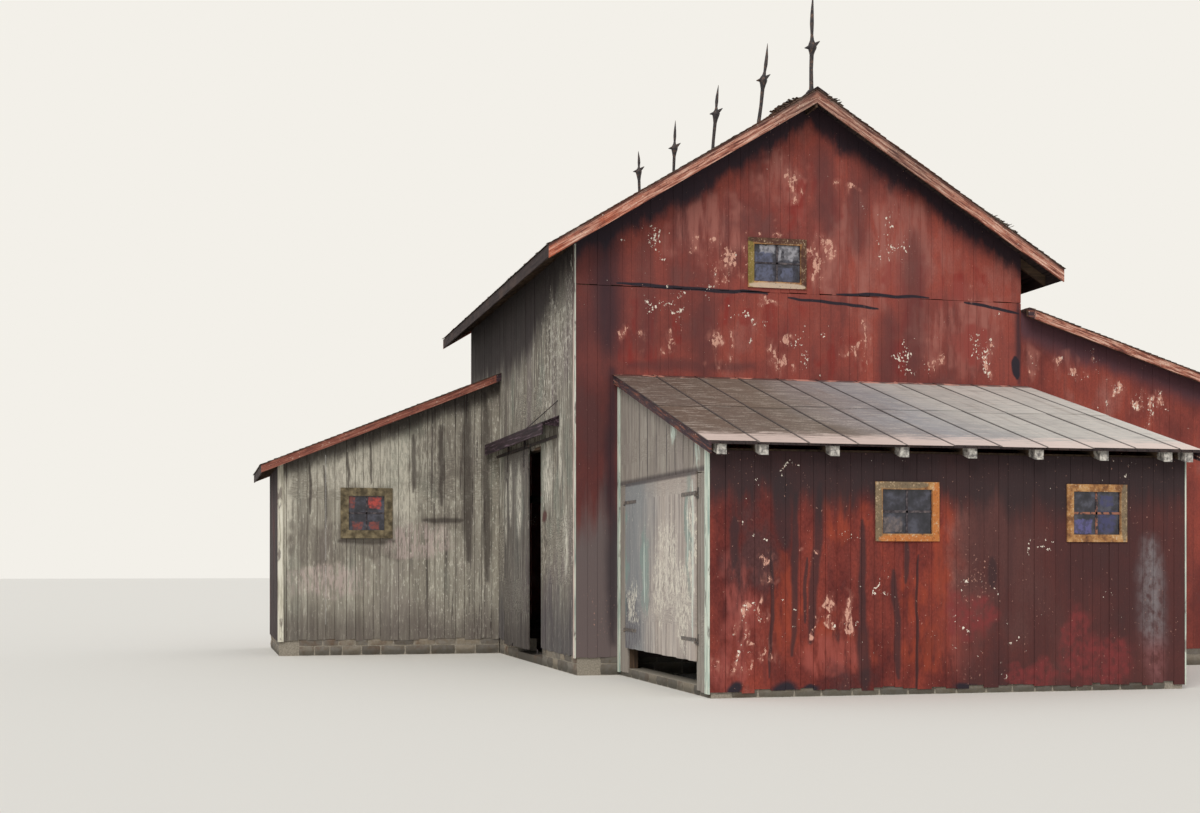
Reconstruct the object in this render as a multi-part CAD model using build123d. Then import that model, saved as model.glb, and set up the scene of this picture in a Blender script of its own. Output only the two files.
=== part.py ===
from build123d import *
import os

# Red barn: a tall gabled barn with a lean-to on each side and a shed across its front.
# Sizes are in millimetres. X runs right along the front, Y runs to the back and Z is up.
# The origin is at ground level, on the outer face of the footing under the front wall's middle.

# Main barn, measured over the boards
barn_width = 8500
barn_length = 11000
ridge_height = 10335
main_pitch = 0.611
main_eave_overhang = 590
main_verge_overhang = 530

# Left lean-to, set back from the front; its roof meets the barn at a drop below the ridge
left_setback = 7317
left_width = 4718
left_roof_drop = 4265
left_pitch = 0.4045

# Right lean-to, flush with the front
right_width = 4700
right_roof_drop = 3659
right_pitch = 0.309

# Both lean-tos
lean_eave_overhang = 350
lean_verge_overhang = 300

# Shed across the front, its left wall set in from the barn's corner
shed_left_inset = 768
shed_depth = 5145
shed_roof_height = 5255
shed_pitch = 0.2885
shed_eave_overhang = 300
shed_side_overhang = 100

# Stone footings and boards
footing_height = 400
footing_width = 400
shed_footing_height = 150
shed_footing_width = 300
board = 30
board_lap = 100
shed_board_rise = 60
gable_seam_drop = 3555
corner_board = 25
corner_board_width = 120
shed_corner_board_width = 170

# Main timbers
post = 220
beam_width = 180
sill_depth = 200
girt_depth = 160
girt_height = 3400
header_depth = 200
plate_depth = 200
tie_depth = 250
bay_count = 4
brace_reach = 900
brace_width = 120
brace_thickness = 80
stud_width = 100
stud_depth = 60
gable_stud_places = (1250, 2600)

# Lighter timbers of the lean-tos and the shed
light_post = 150
light_beam = 120
light_girt_height = 1900
ledger_width = 60
ledger_depth = 180
shed_post_places = (-1500, 1150)

# Rafters and roof
rafter_width = 60
main_rafter_depth = 150
light_rafter_depth = 120
main_rafter_spacing = 900
lean_rafter_spacing = 900
shed_rafter_width = 140
shed_rafter_depth = 150
shed_rafter_spacing = 1090
shed_first_rafter = -2750
shed_tail_setback = 45
plate_seat_width = 110
light_seat_width = 80
main_deck = 28
light_deck = 25
shed_deck = 28
shingle_coat = 22
light_shingle_coat = 20
shed_sheet_coat = 12
coat_overhang = 25
ridge_board = 40
ridge_board_depth = 260
ridge_cap_width = 190
ridge_cap_thickness = 22
verge_board = 30
verge_depth = 220
light_verge_depth = 170
eave_board = 25
eave_depth = 170
light_eave_depth = 140
mitre_gap = 2

# Lightning rods
rod_height = 1750
rod_radius = 16
rod_tip_radius = 5
rod_ball_height = 800
rod_ball_radius = 58
rod_foot_length = 130
rod_foot_reach = 90
rod_foot_rise = 45
rod_end_distance = 250
rod_vane_height = 930
rod_vane_reach = 170
rod_vane_thickness = 14
rod_leans = (1, 7, 5, 2, -1)

# Windows: middle, opening and casing
window_sash = 32
window_casing_thickness = 25
glass_thickness = 5
gable_window_x = -557
gable_window_drop = 3025
gable_window_width = 940
gable_window_height = 730
gable_casing = 80
left_window_distance = 2860
left_window_z = 3020
left_window_width = 820
left_window_height = 790
left_casing = 140
shed_window_x = (-415, 2720)
shed_window_z = 2712
shed_window_width = 860
shed_window_height = 720
shed_casing = 80

# Doorways
wagon_bay = 1
passage_bay = 3
wagon_sill = 150
wagon_head = 4150
passage_head = 2600
shed_door_front_inset = 585
shed_door_rear_inset = 610
shed_door_head = 3270

# Shed doors, hung outside the wall on strap hinges
door_boards = 28
door_ledge = 28
door_ledge_depth = 150
door_lap = 40
door_gap = 6
leaf_gap = 10
shed_leaf_bottom = 500
shed_leaf_lap = 30
ledge_inset = 110
brace_board_width = 130
ledge_spacing = 1200
strap_width = 55
strap_thickness = 6
strap_length = 700
strap_inset = 320
hinge_offset = 16
hinge_edge_gap = 26
eye_radius = 20
pin_radius = 11
pin_clearance = 0.3
pintle_plate = 8
pintle_plate_width = 40
pintle_plate_height = 170
pintle_arm_depth = 24

# Wagon door, hung from a rail under a hood
wagon_leaf_width = 2540
wagon_leaf_bottom = 250
wagon_head_lap = 50
wagon_rest_edge = 3780
wagon_wall_gap = 10
rail_setback = 14
rail_thickness = 10
rail_depth = 60
rail_gap = 20
rail_front = 1300
rail_rear = 7250
spacer_radius = 12
spacer_spacing = 850
wheel_radius = 55
wheel_flange = 10
wheel_width = 24
wheel_tread = 12
wheel_clearance = 0.3
hanger_thickness = 8
hanger_width = 60
hanger_length = 350
hanger_inset = 420
axle_radius = 10
hood_front = 1270
hood_rear = 7210
hood_reach = 310
hood_drop = 140
hood_board = 25
hood_wheel_clearance = 30
hood_bracket = 50
hood_bracket_depth = 210
hood_bracket_count = 4
hood_stay_radius = 9
hood_stay_place = 3000
hood_stay_slant = 1600
hood_stay_rise = 270
hood_stay_inset = 40
hood_stay_seat = 20
hood_stay_tail = 100
guide_width = 60
guide_thickness = 8
guide_gap = 8
guide_drop = 20
guide_rise = 60

half_width = barn_width / 2
side_face = half_width - board
front_face = 0
front = front_face - board
rear = front + barn_length
rear_face = rear - board
wall_bottom = footing_height - board_lap
gable_seam = ridge_height - gable_seam_drop
gable_window_z = ridge_height - gable_window_drop
left_roof_height = ridge_height - left_roof_drop
right_roof_height = ridge_height - right_roof_drop
left_front = front + left_setback
left_window_x = -half_width - left_window_distance
shed_left = shed_left_inset - half_width
shed_front = front - shed_depth
shed_wall_bottom = shed_board_rise
shed_left_face = shed_left + board
shed_front_face = shed_front + board
shed_roof_end = shed_depth + shed_eave_overhang
shed_door_front_edge = shed_front_face + shed_door_front_inset
shed_door_rear_edge = front - shed_door_rear_inset

# Places of the doors' moving parts
shed_leaf_top = shed_door_head + shed_leaf_lap
hinge_x = shed_left - door_gap - door_boards - hinge_offset
wagon_leaf_top = wagon_head + wagon_head_lap
wagon_face = -half_width - wagon_wall_gap - door_ledge - board
rail_middle = wagon_face + rail_setback
rail_bottom = wagon_leaf_top + rail_gap
rail_top = rail_bottom + rail_depth
wheel_z = rail_top + wheel_radius + wheel_clearance
hood_bracket_bottom = wheel_z + wheel_radius + wheel_flange + hood_wheel_clearance
hood_height = hood_bracket_bottom + hood_bracket_depth


class RoofSlope:
    """Heights on one flat roof slope, at a distance out from where the slope starts."""

    def __init__(self, height, pitch, coat, deck, rafter_depth):
        slant = (1 + pitch**2) ** 0.5
        self.height = height
        self.pitch = pitch
        self.slant = slant
        self.coat = coat * slant
        self.deck = (coat + deck) * slant
        self.rafter_depth = rafter_depth * slant

    def top(self, out):
        return self.height - self.pitch * out

    def under_deck(self, out):
        return self.top(out) - self.deck

    def under_rafter(self, out):
        return self.under_deck(out) - self.rafter_depth

    def band(self, start, end, above, below):
        """Outline between two lines that run parallel to the slope, below its top."""
        return [
            (start, self.top(start) - above),
            (end, self.top(end) - above),
            (end, self.top(end) - below),
            (start, self.top(start) - below),
        ]

    def rafter(self, start, end, seats):
        """Outline of a rafter, notched over each beam that carries it."""
        outline = [(end, self.under_deck(end)), (start, self.under_deck(start))]
        if seats[0][0] > start:
            outline.append((start, self.under_rafter(start)))
        for inner, outer in seats:
            seat_height = self.under_rafter(inner)
            outline.append((inner, seat_height))
            outline.append((outer, seat_height))
            outline.append((outer, self.under_rafter(outer)))
        outline.append((end, self.under_rafter(end)))
        return outline


main_roof = RoofSlope(ridge_height, main_pitch, shingle_coat, main_deck, main_rafter_depth)
light_layers = (light_shingle_coat, light_deck, light_rafter_depth)
left_roof = RoofSlope(left_roof_height, left_pitch, *light_layers)
right_roof = RoofSlope(right_roof_height, right_pitch, *light_layers)
shed_roof = RoofSlope(shed_roof_height, shed_pitch, shed_sheet_coat, shed_deck, shed_rafter_depth)


def block(x, y, z):
    """Box between the two values given for each axis."""
    corner = (min(x), min(y), min(z))
    size = (abs(x[1] - x[0]), abs(y[1] - y[0]), abs(z[1] - z[0]))
    return Pos(*corner) * Box(*size, align=(Align.MIN, Align.MIN, Align.MIN))


def slab_across(outline, y, side=1, start=0):
    """Outline of (distance, height) points seen from the front, thick from y[0] to y[1]."""
    points = [(side * (start + out), y[0], height) for out, height in outline]
    face = Face(Wire.make_polygon(points))
    return Solid.extrude(face, Vector(0, y[1] - y[0], 0))


def slab_along(outline, x):
    """Outline of (y, height) points seen from the side, thick from x[0] to x[1]."""
    points = [(x[0], y, height) for y, height in outline]
    face = Face(Wire.make_polygon(points))
    return Solid.extrude(face, Vector(x[1] - x[0], 0, 0))


def spread(first, last, spacing):
    """Evenly spaced positions from first to last, no further apart than the spacing."""
    count = max(1, round(abs(last - first) / spacing))
    return [first + (last - first) * index / count for index in range(count + 1)]


def middle_band(centre, width):
    """The two edges of a piece of this width about its middle."""
    return (centre - width / 2, centre + width / 2)


def save(name, pieces):
    """Write one sub-part, made of one solid or of solids that stand apart."""
    solids = [solid for piece in pieces for solid in piece.solids()]
    export_step(Compound(solids), f"parts/{name}.step")


# Places of the main frame
first_bent = front_face + post / 2
last_bent = rear_face - post / 2
bents = spread(first_bent, last_bent, (last_bent - first_bent) / bay_count)
post_inner = side_face - post
plate_top = main_roof.under_rafter(side_face - plate_seat_width)
plate_bottom = plate_top - plate_depth
tie_bottom = plate_bottom - tie_depth
shed_plate_top = shed_roof.under_rafter(shed_depth - board - light_seat_width)
wall_top = main_roof.under_rafter(half_width)


def bay(index):
    """Clear space along Y between two neighbouring bents."""
    return (bents[index] + post / 2, bents[index + 1] - post / 2)


wagon_doorway = bay(wagon_bay)

# Head heights of the doorways through the side walls, by side and bay
doorways = {
    (-1, wagon_bay): wagon_head,
    (-1, passage_bay): passage_head,
    (1, wagon_bay): passage_head,
}


def lean_to_sizes():
    """Side, start, front face, outer face, roof slope and post places of each lean-to."""
    left_outer = half_width + left_width
    right_outer = half_width + right_width
    return [
        (-1, left_front, left_outer, left_roof),
        (1, front, right_outer, right_roof),
    ]


def lean_to_post_rows(lean_front):
    """Middles of the outer posts of a lean-to along Y."""
    first = lean_front + board + light_post / 2
    last = rear_face - light_post / 2
    return spread(first, last, (last_bent - first_bent) / bay_count)


# Footings

def footing_side_walls():
    """Stone walls along Y: both sides of the barn, the lean-tos' outer sides, the shed's sides."""
    bottom_to_top = (0, footing_height)
    left = (-side_face, -side_face + footing_width)
    right = (side_face - footing_width, side_face)
    walls = [
        block(left, (front_face, wagon_doorway[0]), bottom_to_top),
        block(left, (wagon_doorway[1], rear_face), bottom_to_top),
        block(right, (front_face, rear_face), bottom_to_top),
    ]
    for side, lean_front, outer, slope in lean_to_sizes():
        across = (side * (outer - board), side * (outer - board - footing_width))
        walls.append(block(across, (lean_front + board, rear_face), bottom_to_top))
    shed_sides = (
        (shed_left_face, shed_left_face + shed_footing_width),
        (side_face - shed_footing_width, side_face),
    )
    for across in shed_sides:
        walls.append(block(across, (shed_front_face, front_face), (0, shed_footing_height)))
    return walls


def footing_end_walls():
    """Stone walls along X, between the side walls."""
    bottom_to_top = (0, footing_height)
    front_row = (front_face, front_face + footing_width)
    rear_row = (rear_face - footing_width, rear_face)
    inner = side_face - footing_width
    walls = [
        block((-inner, inner), front_row, bottom_to_top),
        block((-inner, inner), rear_row, bottom_to_top),
    ]
    for side, lean_front, outer, slope in lean_to_sizes():
        across = (side * half_width, side * (outer - board - footing_width))
        lean_front_wall = (lean_front + board, lean_front + board + footing_width)
        walls.append(block(across, lean_front_wall, bottom_to_top))
        walls.append(block(across, rear_row, bottom_to_top))
    shed_across = (shed_left_face + shed_footing_width, side_face - shed_footing_width)
    shed_along = (shed_front_face, shed_front_face + shed_footing_width)
    walls.append(block(shed_across, shed_along, (0, shed_footing_height)))
    return walls


def wagon_doorway_sill():
    """Flat stone across the wagon doorway."""
    return [block((-side_face, -side_face + footing_width), wagon_doorway, (0, wagon_sill))]


# Main timber frame

def main_posts():
    """One post each side of every bent, from the footing to the wall plate."""
    posts = []
    for y in bents:
        for side in (-1, 1):
            across = (side * post_inner, side * side_face)
            posts.append(block(across, middle_band(y, post), (footing_height, plate_bottom)))
    return posts


def side_beam(side, index, bottom, depth):
    """Beam between two posts of a side wall, against the boards."""
    return block((side * side_face, side * (side_face - beam_width)), bay(index), (bottom, bottom + depth))


def end_beam(inner_face, direction, bottom, depth):
    """Beam between the two posts of a gable wall, against the boards."""
    along = (inner_face, inner_face + direction * beam_width)
    return block((-post_inner, post_inner), along, (bottom, bottom + depth))


def main_girts():
    """Sills, girts and door heads between the posts, which carry the wall boards."""
    beams = []
    for index in range(bay_count):
        for side in (-1, 1):
            head = doorways.get((side, index))
            if head:
                beams.append(side_beam(side, index, head, header_depth))
            else:
                beams.append(side_beam(side, index, footing_height, sill_depth))
            if head is None or head + header_depth < girt_height:
                beams.append(side_beam(side, index, girt_height, girt_depth))
    for inner_face, direction in ((front_face, 1), (rear_face, -1)):
        beams.append(end_beam(inner_face, direction, footing_height, sill_depth))
        beams.append(end_beam(inner_face, direction, girt_height, girt_depth))
    return beams


def tie_beams():
    """Tie beam of each bent, between the heads of its two posts."""
    ties = []
    for y in bents:
        ties.append(block((-post_inner, post_inner), middle_band(y, beam_width), (tie_bottom, plate_bottom)))
    return ties


def wall_plates():
    """Long beams on top of the posts, which carry the rafters."""
    plates = []
    for side in (-1, 1):
        across = (side * post_inner, side * side_face)
        plates.append(block(across, (front_face, rear_face), (plate_bottom, plate_top)))
    return plates


def knee_braces():
    """Sloping braces from each post up to its tie beam."""
    foot = brace_width * 2**0.5
    outline = [
        (post_inner, tie_bottom - brace_reach),
        (post_inner, tie_bottom - brace_reach + foot),
        (post_inner - brace_reach + foot, tie_bottom),
        (post_inner - brace_reach, tie_bottom),
    ]
    braces = []
    for y in bents:
        for side in (-1, 1):
            braces.append(slab_across(outline, middle_band(y, brace_thickness), side))
    return braces


def gable_studs():
    """Upright studs in both gables, from the tie beam to the roof boards."""
    studs = []
    for middle in gable_stud_places:
        inner, outer = middle_band(middle, stud_width)
        outline = [
            (inner, plate_bottom),
            (outer, plate_bottom),
            (outer, main_roof.under_deck(outer)),
            (inner, main_roof.under_deck(inner)),
        ]
        for side in (-1, 1):
            studs.append(slab_across(outline, (front_face, front_face + stud_depth), side))
            studs.append(slab_across(outline, (rear_face - stud_depth, rear_face), side))
    return studs


def main_rafters():
    """Rafter pairs notched over the wall plates, with one pair under each verge."""
    end = half_width + main_eave_overhang - eave_board
    seat = (side_face - plate_seat_width, side_face)
    outline = main_roof.rafter(ridge_board / 2, end, [seat])
    verge = main_verge_overhang - verge_board - rafter_width / 2
    inner_places = spread(first_bent, last_bent, main_rafter_spacing)
    rafters = []
    for y in [front - verge] + inner_places + [rear + verge]:
        for side in (-1, 1):
            rafters.append(slab_across(outline, middle_band(y, rafter_width), side))
    return rafters


def ridge_beam():
    """Board on edge along the ridge, between the rafter pairs."""
    top = main_roof.under_deck(ridge_board / 2)
    verge = main_verge_overhang - verge_board
    along = (front - verge, rear + verge)
    return [block(middle_band(0, ridge_board), along, (top - ridge_board_depth, top))]


# Walls of the main barn

def window_hole(x, z, width, height, face, inward):
    """Opening through a board wall whose outer face lies at this Y."""
    depth = (face, face + inward * board)
    return block(middle_band(x, width), depth, middle_band(z, height))


def gable(face, inward, window_side):
    """Boards of one gable above the seam, cut through for its window and the ridge beam."""
    outline = [
        (-half_width, gable_seam),
        (half_width, gable_seam),
        (half_width, main_roof.under_deck(half_width)),
        (0, main_roof.under_deck(0)),
        (-half_width, main_roof.under_deck(half_width)),
    ]
    boards = slab_across(outline, (face, face + inward * board))
    x = gable_window_x * window_side
    hole = window_hole(x, gable_window_z, gable_window_width, gable_window_height, face, inward)
    beam_bottom = main_roof.under_deck(ridge_board / 2) - ridge_board_depth
    depth = (face, face + inward * board)
    notch = block(middle_band(0, ridge_board), depth, (beam_bottom, ridge_height))
    return [boards - hole - notch]


def end_wall(face, inward):
    """Boards of one end wall below the gable seam."""
    across = (-half_width, half_width)
    return [block(across, (face, face + inward * board), (wall_bottom, gable_seam))]


def side_boards(side, along, bottom):
    """A stretch of a side wall's boards, from this height up to the rafters."""
    return block((side * side_face, side * half_width), along, (bottom, wall_top))


def side_wall(side):
    """The boards beside the doorways of a side wall, and the boards over them."""
    beside = []
    over = []
    start = front_face
    for index in range(bay_count):
        head = doorways.get((side, index))
        if head is None:
            continue
        first, last = bay(index)
        beside.append(side_boards(side, (start, first), wall_bottom))
        over.append(side_boards(side, (first, last), head))
        start = last
    beside.append(side_boards(side, (start, rear_face), wall_bottom))
    return beside, over


# Main roof

def main_roof_half(side):
    """Roof boards of one slope."""
    end = half_width + main_eave_overhang
    outline = main_roof.band(0, end, main_roof.coat, main_roof.deck)
    verge = main_verge_overhang - verge_board
    return [slab_across(outline, (front - verge, rear + verge), side)]


def main_shingles():
    """Shingle coat of both slopes, which hangs over the verge boards and past the eaves."""
    end = half_width + main_eave_overhang + coat_overhang
    outline = main_roof.band(mitre_gap / 2, end, 0, main_roof.coat)
    verge = main_verge_overhang + coat_overhang
    return [slab_across(outline, (front - verge, rear + verge), side) for side in (-1, 1)]


def ridge_cap():
    """Two boards nailed over the ridge."""
    cap = ridge_cap_thickness * main_roof.slant
    outline = main_roof.band(mitre_gap / 2, ridge_cap_width, -cap, 0)
    verge = main_verge_overhang + coat_overhang
    return [slab_across(outline, (front - verge, rear + verge), side) for side in (-1, 1)]


def verge_pair(slope, start, end, depth, face, outward, side, offset=0):
    """Board along one sloping roof edge, its outer face at this Y."""
    outline = slope.band(start, end, slope.coat, depth * slope.slant)
    return slab_across(outline, (face, face - outward * verge_board), side, offset)


def verge_boards():
    """Boards along the sloping edges of every roof."""
    boards = []
    main_end = half_width + main_eave_overhang
    main_faces = ((front - main_verge_overhang, -1), (rear + main_verge_overhang, 1))
    for face, outward in main_faces:
        for side in (-1, 1):
            boards.append(
                verge_pair(main_roof, mitre_gap / 2, main_end, verge_depth, face, outward, side)
            )
    for side, lean_front, outer, slope in lean_to_sizes():
        end = outer - half_width + lean_eave_overhang
        lean_faces = ((lean_front - lean_verge_overhang, -1), (rear + lean_verge_overhang, 1))
        for face, outward in lean_faces:
            boards.append(
                verge_pair(slope, 0, end, light_verge_depth, face, outward, side, half_width)
            )
    boards.extend(shed_verge_boards())
    return boards


def shed_verge_boards():
    """Boards along the two sloping edges of the shed roof."""
    depth = light_verge_depth * shed_roof.slant
    outline = shed_outline(shed_roof.band(0, shed_roof_end, shed_roof.coat, depth))
    left = shed_left - shed_side_overhang
    right = half_width + shed_side_overhang
    return [
        slab_along(outline, (left, left + verge_board)),
        slab_along(outline, (right - verge_board, right)),
    ]


def eave_strip(slope, end, depth, along, side, offset=0):
    """Board across the rafter ends, under the edge of the roof boards."""
    top = slope.under_deck(end)
    across = (side * (offset + end - eave_board), side * (offset + end))
    return block(across, along, (top - depth, top))


def eave_boards():
    """Boards across the rafter ends of the barn and of both lean-tos."""
    main_end = half_width + main_eave_overhang
    verge = main_verge_overhang - verge_board
    along = (front - verge, rear + verge)
    boards = [eave_strip(main_roof, main_end, eave_depth, along, side) for side in (-1, 1)]
    verge = lean_verge_overhang - verge_board
    for side, lean_front, outer, slope in lean_to_sizes():
        along = (lean_front - verge, rear + verge)
        end = outer - half_width + lean_eave_overhang
        boards.append(eave_strip(slope, end, light_eave_depth, along, side, half_width))
    return boards


# Lightning rods

def lightning_rod(y, lean):
    """Tapered rod with a ball and a cross arm, leaning a little on a saddle over the ridge."""
    cap = ridge_cap_thickness * main_roof.slant
    crest = ridge_height + cap
    saddle_outline = [
        (0, crest),
        (rod_foot_reach, crest - main_pitch * rod_foot_reach),
        (rod_foot_reach, crest - main_pitch * rod_foot_reach + rod_foot_rise),
        (0, crest + rod_foot_rise),
        (-rod_foot_reach, crest - main_pitch * rod_foot_reach + rod_foot_rise),
        (-rod_foot_reach, crest - main_pitch * rod_foot_reach),
    ]
    saddle = slab_across(saddle_outline, middle_band(y, rod_foot_length))
    base = Align.MIN
    shaft = Cone(rod_radius, rod_tip_radius, rod_height, align=(Align.CENTER, Align.CENTER, base))
    ball = Pos(0, 0, rod_ball_height) * Sphere(rod_ball_radius)
    arm = block(
        middle_band(0, 2 * rod_vane_reach),
        middle_band(0, rod_vane_thickness),
        middle_band(rod_vane_height, rod_vane_thickness),
    )
    rod = Rot(0, lean, 0) * (shaft + ball + arm)
    return saddle + Pos(0, y, crest + rod_foot_rise / 2) * rod


def lightning_rods():
    """Rods spaced along the ridge from the front verge to the rear one."""
    first = front - rod_end_distance
    last = rear + rod_end_distance
    places = spread(first, last, (last - first) / (len(rod_leans) - 1))
    return [lightning_rod(y, lean) for y, lean in zip(places, rod_leans)]


# Windows

def window_pieces(x, z, width, height, casing, face, inward):
    """Casing and sash as one frame, and the sheet of glass in it."""
    across = middle_band(x, width)
    upright = middle_band(z, height)
    outside = (face, face - inward * window_casing_thickness)
    in_wall = (face, face + inward * board)
    clear = (middle_band(x, width - 2 * window_sash), middle_band(z, height - 2 * window_sash))
    casing_board = block(
        middle_band(x, width + 2 * casing), outside, middle_band(z, height + 2 * casing)
    )
    casing_board -= block(clear[0], outside, clear[1])
    sash = block(across, in_wall, upright) - block(clear[0], in_wall, clear[1])
    middle = face + inward * board / 2
    glass = block(clear[0], middle_band(middle, glass_thickness), clear[1])
    return casing_board + sash, glass


def all_windows():
    """Every window frame, and every sheet of glass."""
    gable_size = (gable_window_z, gable_window_width, gable_window_height, gable_casing)
    shed_size = (shed_window_z, shed_window_width, shed_window_height, shed_casing)
    left_size = (left_window_z, left_window_width, left_window_height, left_casing)
    windows = [
        window_pieces(gable_window_x, *gable_size, front, 1),
        window_pieces(-gable_window_x, *gable_size, rear, -1),
        window_pieces(left_window_x, *left_size, left_front, 1),
    ]
    for x in shed_window_x:
        windows.append(window_pieces(x, *shed_size, shed_front, 1))
    frames = [frame for frame, glass in windows]
    sheets = [glass for frame, glass in windows]
    return frames, sheets


# Lean-tos

def lean_plate_top(outer, slope):
    """Top of the plate under the rafters' lower end."""
    return slope.under_rafter(outer - board - light_seat_width - half_width)


def lean_to_posts():
    """Posts inside the outer wall of each lean-to."""
    posts = []
    for side, lean_front, outer, slope in lean_to_sizes():
        across = (side * (outer - board - light_post), side * (outer - board))
        top = lean_plate_top(outer, slope) - light_post
        for y in lean_to_post_rows(lean_front):
            posts.append(block(across, middle_band(y, light_post), (footing_height, top)))
    return posts


def lean_to_beams():
    """Plates, ledgers, sills and girts of both lean-tos."""
    beams = []
    for side, lean_front, outer, slope in lean_to_sizes():
        along = (lean_front + board, rear_face)
        plate_across = (side * (outer - board - light_post), side * (outer - board))
        top = lean_plate_top(outer, slope)
        beams.append(block(plate_across, along, (top - light_post, top)))
        ledger_top = slope.under_rafter(0)
        ledger_across = (side * half_width, side * (half_width + ledger_width))
        beams.append(block(ledger_across, along, (ledger_top - ledger_depth, ledger_top)))
        wall_across = (side * (outer - board - light_beam), side * (outer - board))
        rows = lean_to_post_rows(lean_front)
        for near, far in zip(rows, rows[1:]):
            clear = (near + light_post / 2, far - light_post / 2)
            for bottom in (footing_height, light_girt_height):
                beams.append(block(wall_across, clear, (bottom, bottom + light_beam)))
        end_across = (side * half_width, side * (outer - board - light_post))
        for inner_face, inward in ((lean_front + board, 1), (rear_face, -1)):
            end_along = (inner_face, inner_face + inward * light_beam)
            for bottom in (footing_height, light_girt_height):
                beams.append(block(end_across, end_along, (bottom, bottom + light_beam)))
    return beams


def lean_to_rafters():
    """Rafters of both lean-tos, seated on the ledger and on the outer plate."""
    rafters = []
    verge = lean_verge_overhang - verge_board - rafter_width / 2
    for side, lean_front, outer, slope in lean_to_sizes():
        end = outer - half_width + lean_eave_overhang - eave_board
        plate_outer = outer - board - half_width
        seats = [(0, ledger_width), (plate_outer - light_seat_width, plate_outer)]
        outline = slope.rafter(0, end, seats)
        first = lean_front + board + light_post / 2
        last = rear_face - light_post / 2
        places = spread(first, last, lean_rafter_spacing)
        for y in [lean_front - verge] + places + [rear + verge]:
            rafters.append(slab_across(outline, middle_band(y, rafter_width), side, half_width))
    return rafters


def lean_to_end_boards(side, outer, slope, face, inward):
    """Boards that close one end of a lean-to, up to the roof boards."""
    width = outer - half_width
    outline = [
        (0, wall_bottom),
        (width, wall_bottom),
        (width, slope.under_deck(width)),
        (0, slope.under_deck(0)),
    ]
    return slab_across(outline, (face, face + inward * board), side, half_width)


def left_front_wall():
    """Front boards of the left lean-to, with its window cut through."""
    side, lean_front, outer, slope = lean_to_sizes()[0]
    boards = lean_to_end_boards(side, outer, slope, lean_front, 1)
    size = (left_window_width, left_window_height)
    return [boards - window_hole(left_window_x, left_window_z, *size, lean_front, 1)]


def right_front_wall():
    """Front boards of the right lean-to."""
    side, lean_front, outer, slope = lean_to_sizes()[1]
    return [lean_to_end_boards(side, outer, slope, lean_front, 1)]


def lean_to_rear_walls():
    """Rear boards of both lean-tos."""
    walls = []
    for side, lean_front, outer, slope in lean_to_sizes():
        walls.append(lean_to_end_boards(side, outer, slope, rear, -1))
    return walls


def lean_to_side_walls():
    """Outer side boards of both lean-tos, up to the rafters."""
    walls = []
    for side, lean_front, outer, slope in lean_to_sizes():
        across = (side * (outer - board), side * outer)
        top = slope.under_rafter(outer - half_width)
        walls.append(block(across, (lean_front + board, rear_face), (wall_bottom, top)))
    return walls


def lean_to_roof(index):
    """Roof boards of one lean-to."""
    side, lean_front, outer, slope = lean_to_sizes()[index]
    verge = lean_verge_overhang - verge_board
    end = outer - half_width + lean_eave_overhang
    outline = slope.band(0, end, slope.coat, slope.deck)
    return [slab_across(outline, (lean_front - verge, rear + verge), side, half_width)]


def lean_to_shingles():
    """Shingle coat of both lean-tos, which hangs over the verge boards and past the eaves."""
    coats = []
    verge = lean_verge_overhang + coat_overhang
    for side, lean_front, outer, slope in lean_to_sizes():
        end = outer - half_width + lean_eave_overhang + coat_overhang
        outline = slope.band(0, end, 0, slope.coat)
        coats.append(slab_across(outline, (lean_front - verge, rear + verge), side, half_width))
    return coats


# Shed

def shed_outline(points):
    """Turns distances out from the main wall into places along Y."""
    return [(front - out, height) for out, height in points]


def shed_posts():
    """Posts of the shed: corners, front wall, wall end and both door jambs."""
    left = (shed_left_face, shed_left_face + light_post)
    right = (side_face - light_post, side_face)
    front_row = (shed_front_face, shed_front_face + light_post)
    wall_row = (front - light_post, front)
    upright = (shed_footing_height, shed_plate_top - light_post)
    posts = [block(across, front_row, upright) for across in (left, right)]
    for x in shed_post_places:
        posts.append(block(middle_band(x, light_post), front_row, upright))
    upright = (shed_footing_height, shed_roof.under_rafter(0) - ledger_depth)
    posts += [block(across, wall_row, upright) for across in (left, right)]
    front_jamb = (shed_door_front_edge - light_post, shed_door_front_edge)
    rear_jamb = (shed_door_rear_edge, shed_door_rear_edge + light_post)
    for along in (front_jamb, rear_jamb):
        posts.append(block(left, along, (shed_footing_height, shed_door_head)))
    return posts


def shed_beams():
    """Front plate, ledger on the main wall, door head, sills and girts of the shed."""
    across = (shed_left_face, side_face)
    plate_along = (shed_front_face, shed_front_face + light_post)
    ledger_top = shed_roof.under_rafter(0)
    between = (shed_front_face + light_post, front - light_post)
    left = (shed_left_face, shed_left_face + light_beam)
    right = (side_face - light_beam, side_face)
    beams = [
        block(across, plate_along, (shed_plate_top - light_post, shed_plate_top)),
        block(across, (front - ledger_width, front), (ledger_top - ledger_depth, ledger_top)),
        block(left, between, (shed_door_head, shed_door_head + light_post)),
        block(right, between, (shed_footing_height, shed_footing_height + light_beam)),
        block(right, between, (light_girt_height, light_girt_height + light_beam)),
    ]
    front_along = (shed_front_face, shed_front_face + light_beam)
    corners = [shed_left_face + light_post, side_face - light_post]
    edges = [corners[0]]
    for x in shed_post_places:
        edges += middle_band(x, light_post)
    edges.append(corners[1])
    for start, end in zip(edges[::2], edges[1::2]):
        for bottom in (shed_footing_height, light_girt_height):
            beams.append(block((start, end), front_along, (bottom, bottom + light_beam)))
    return beams


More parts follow.
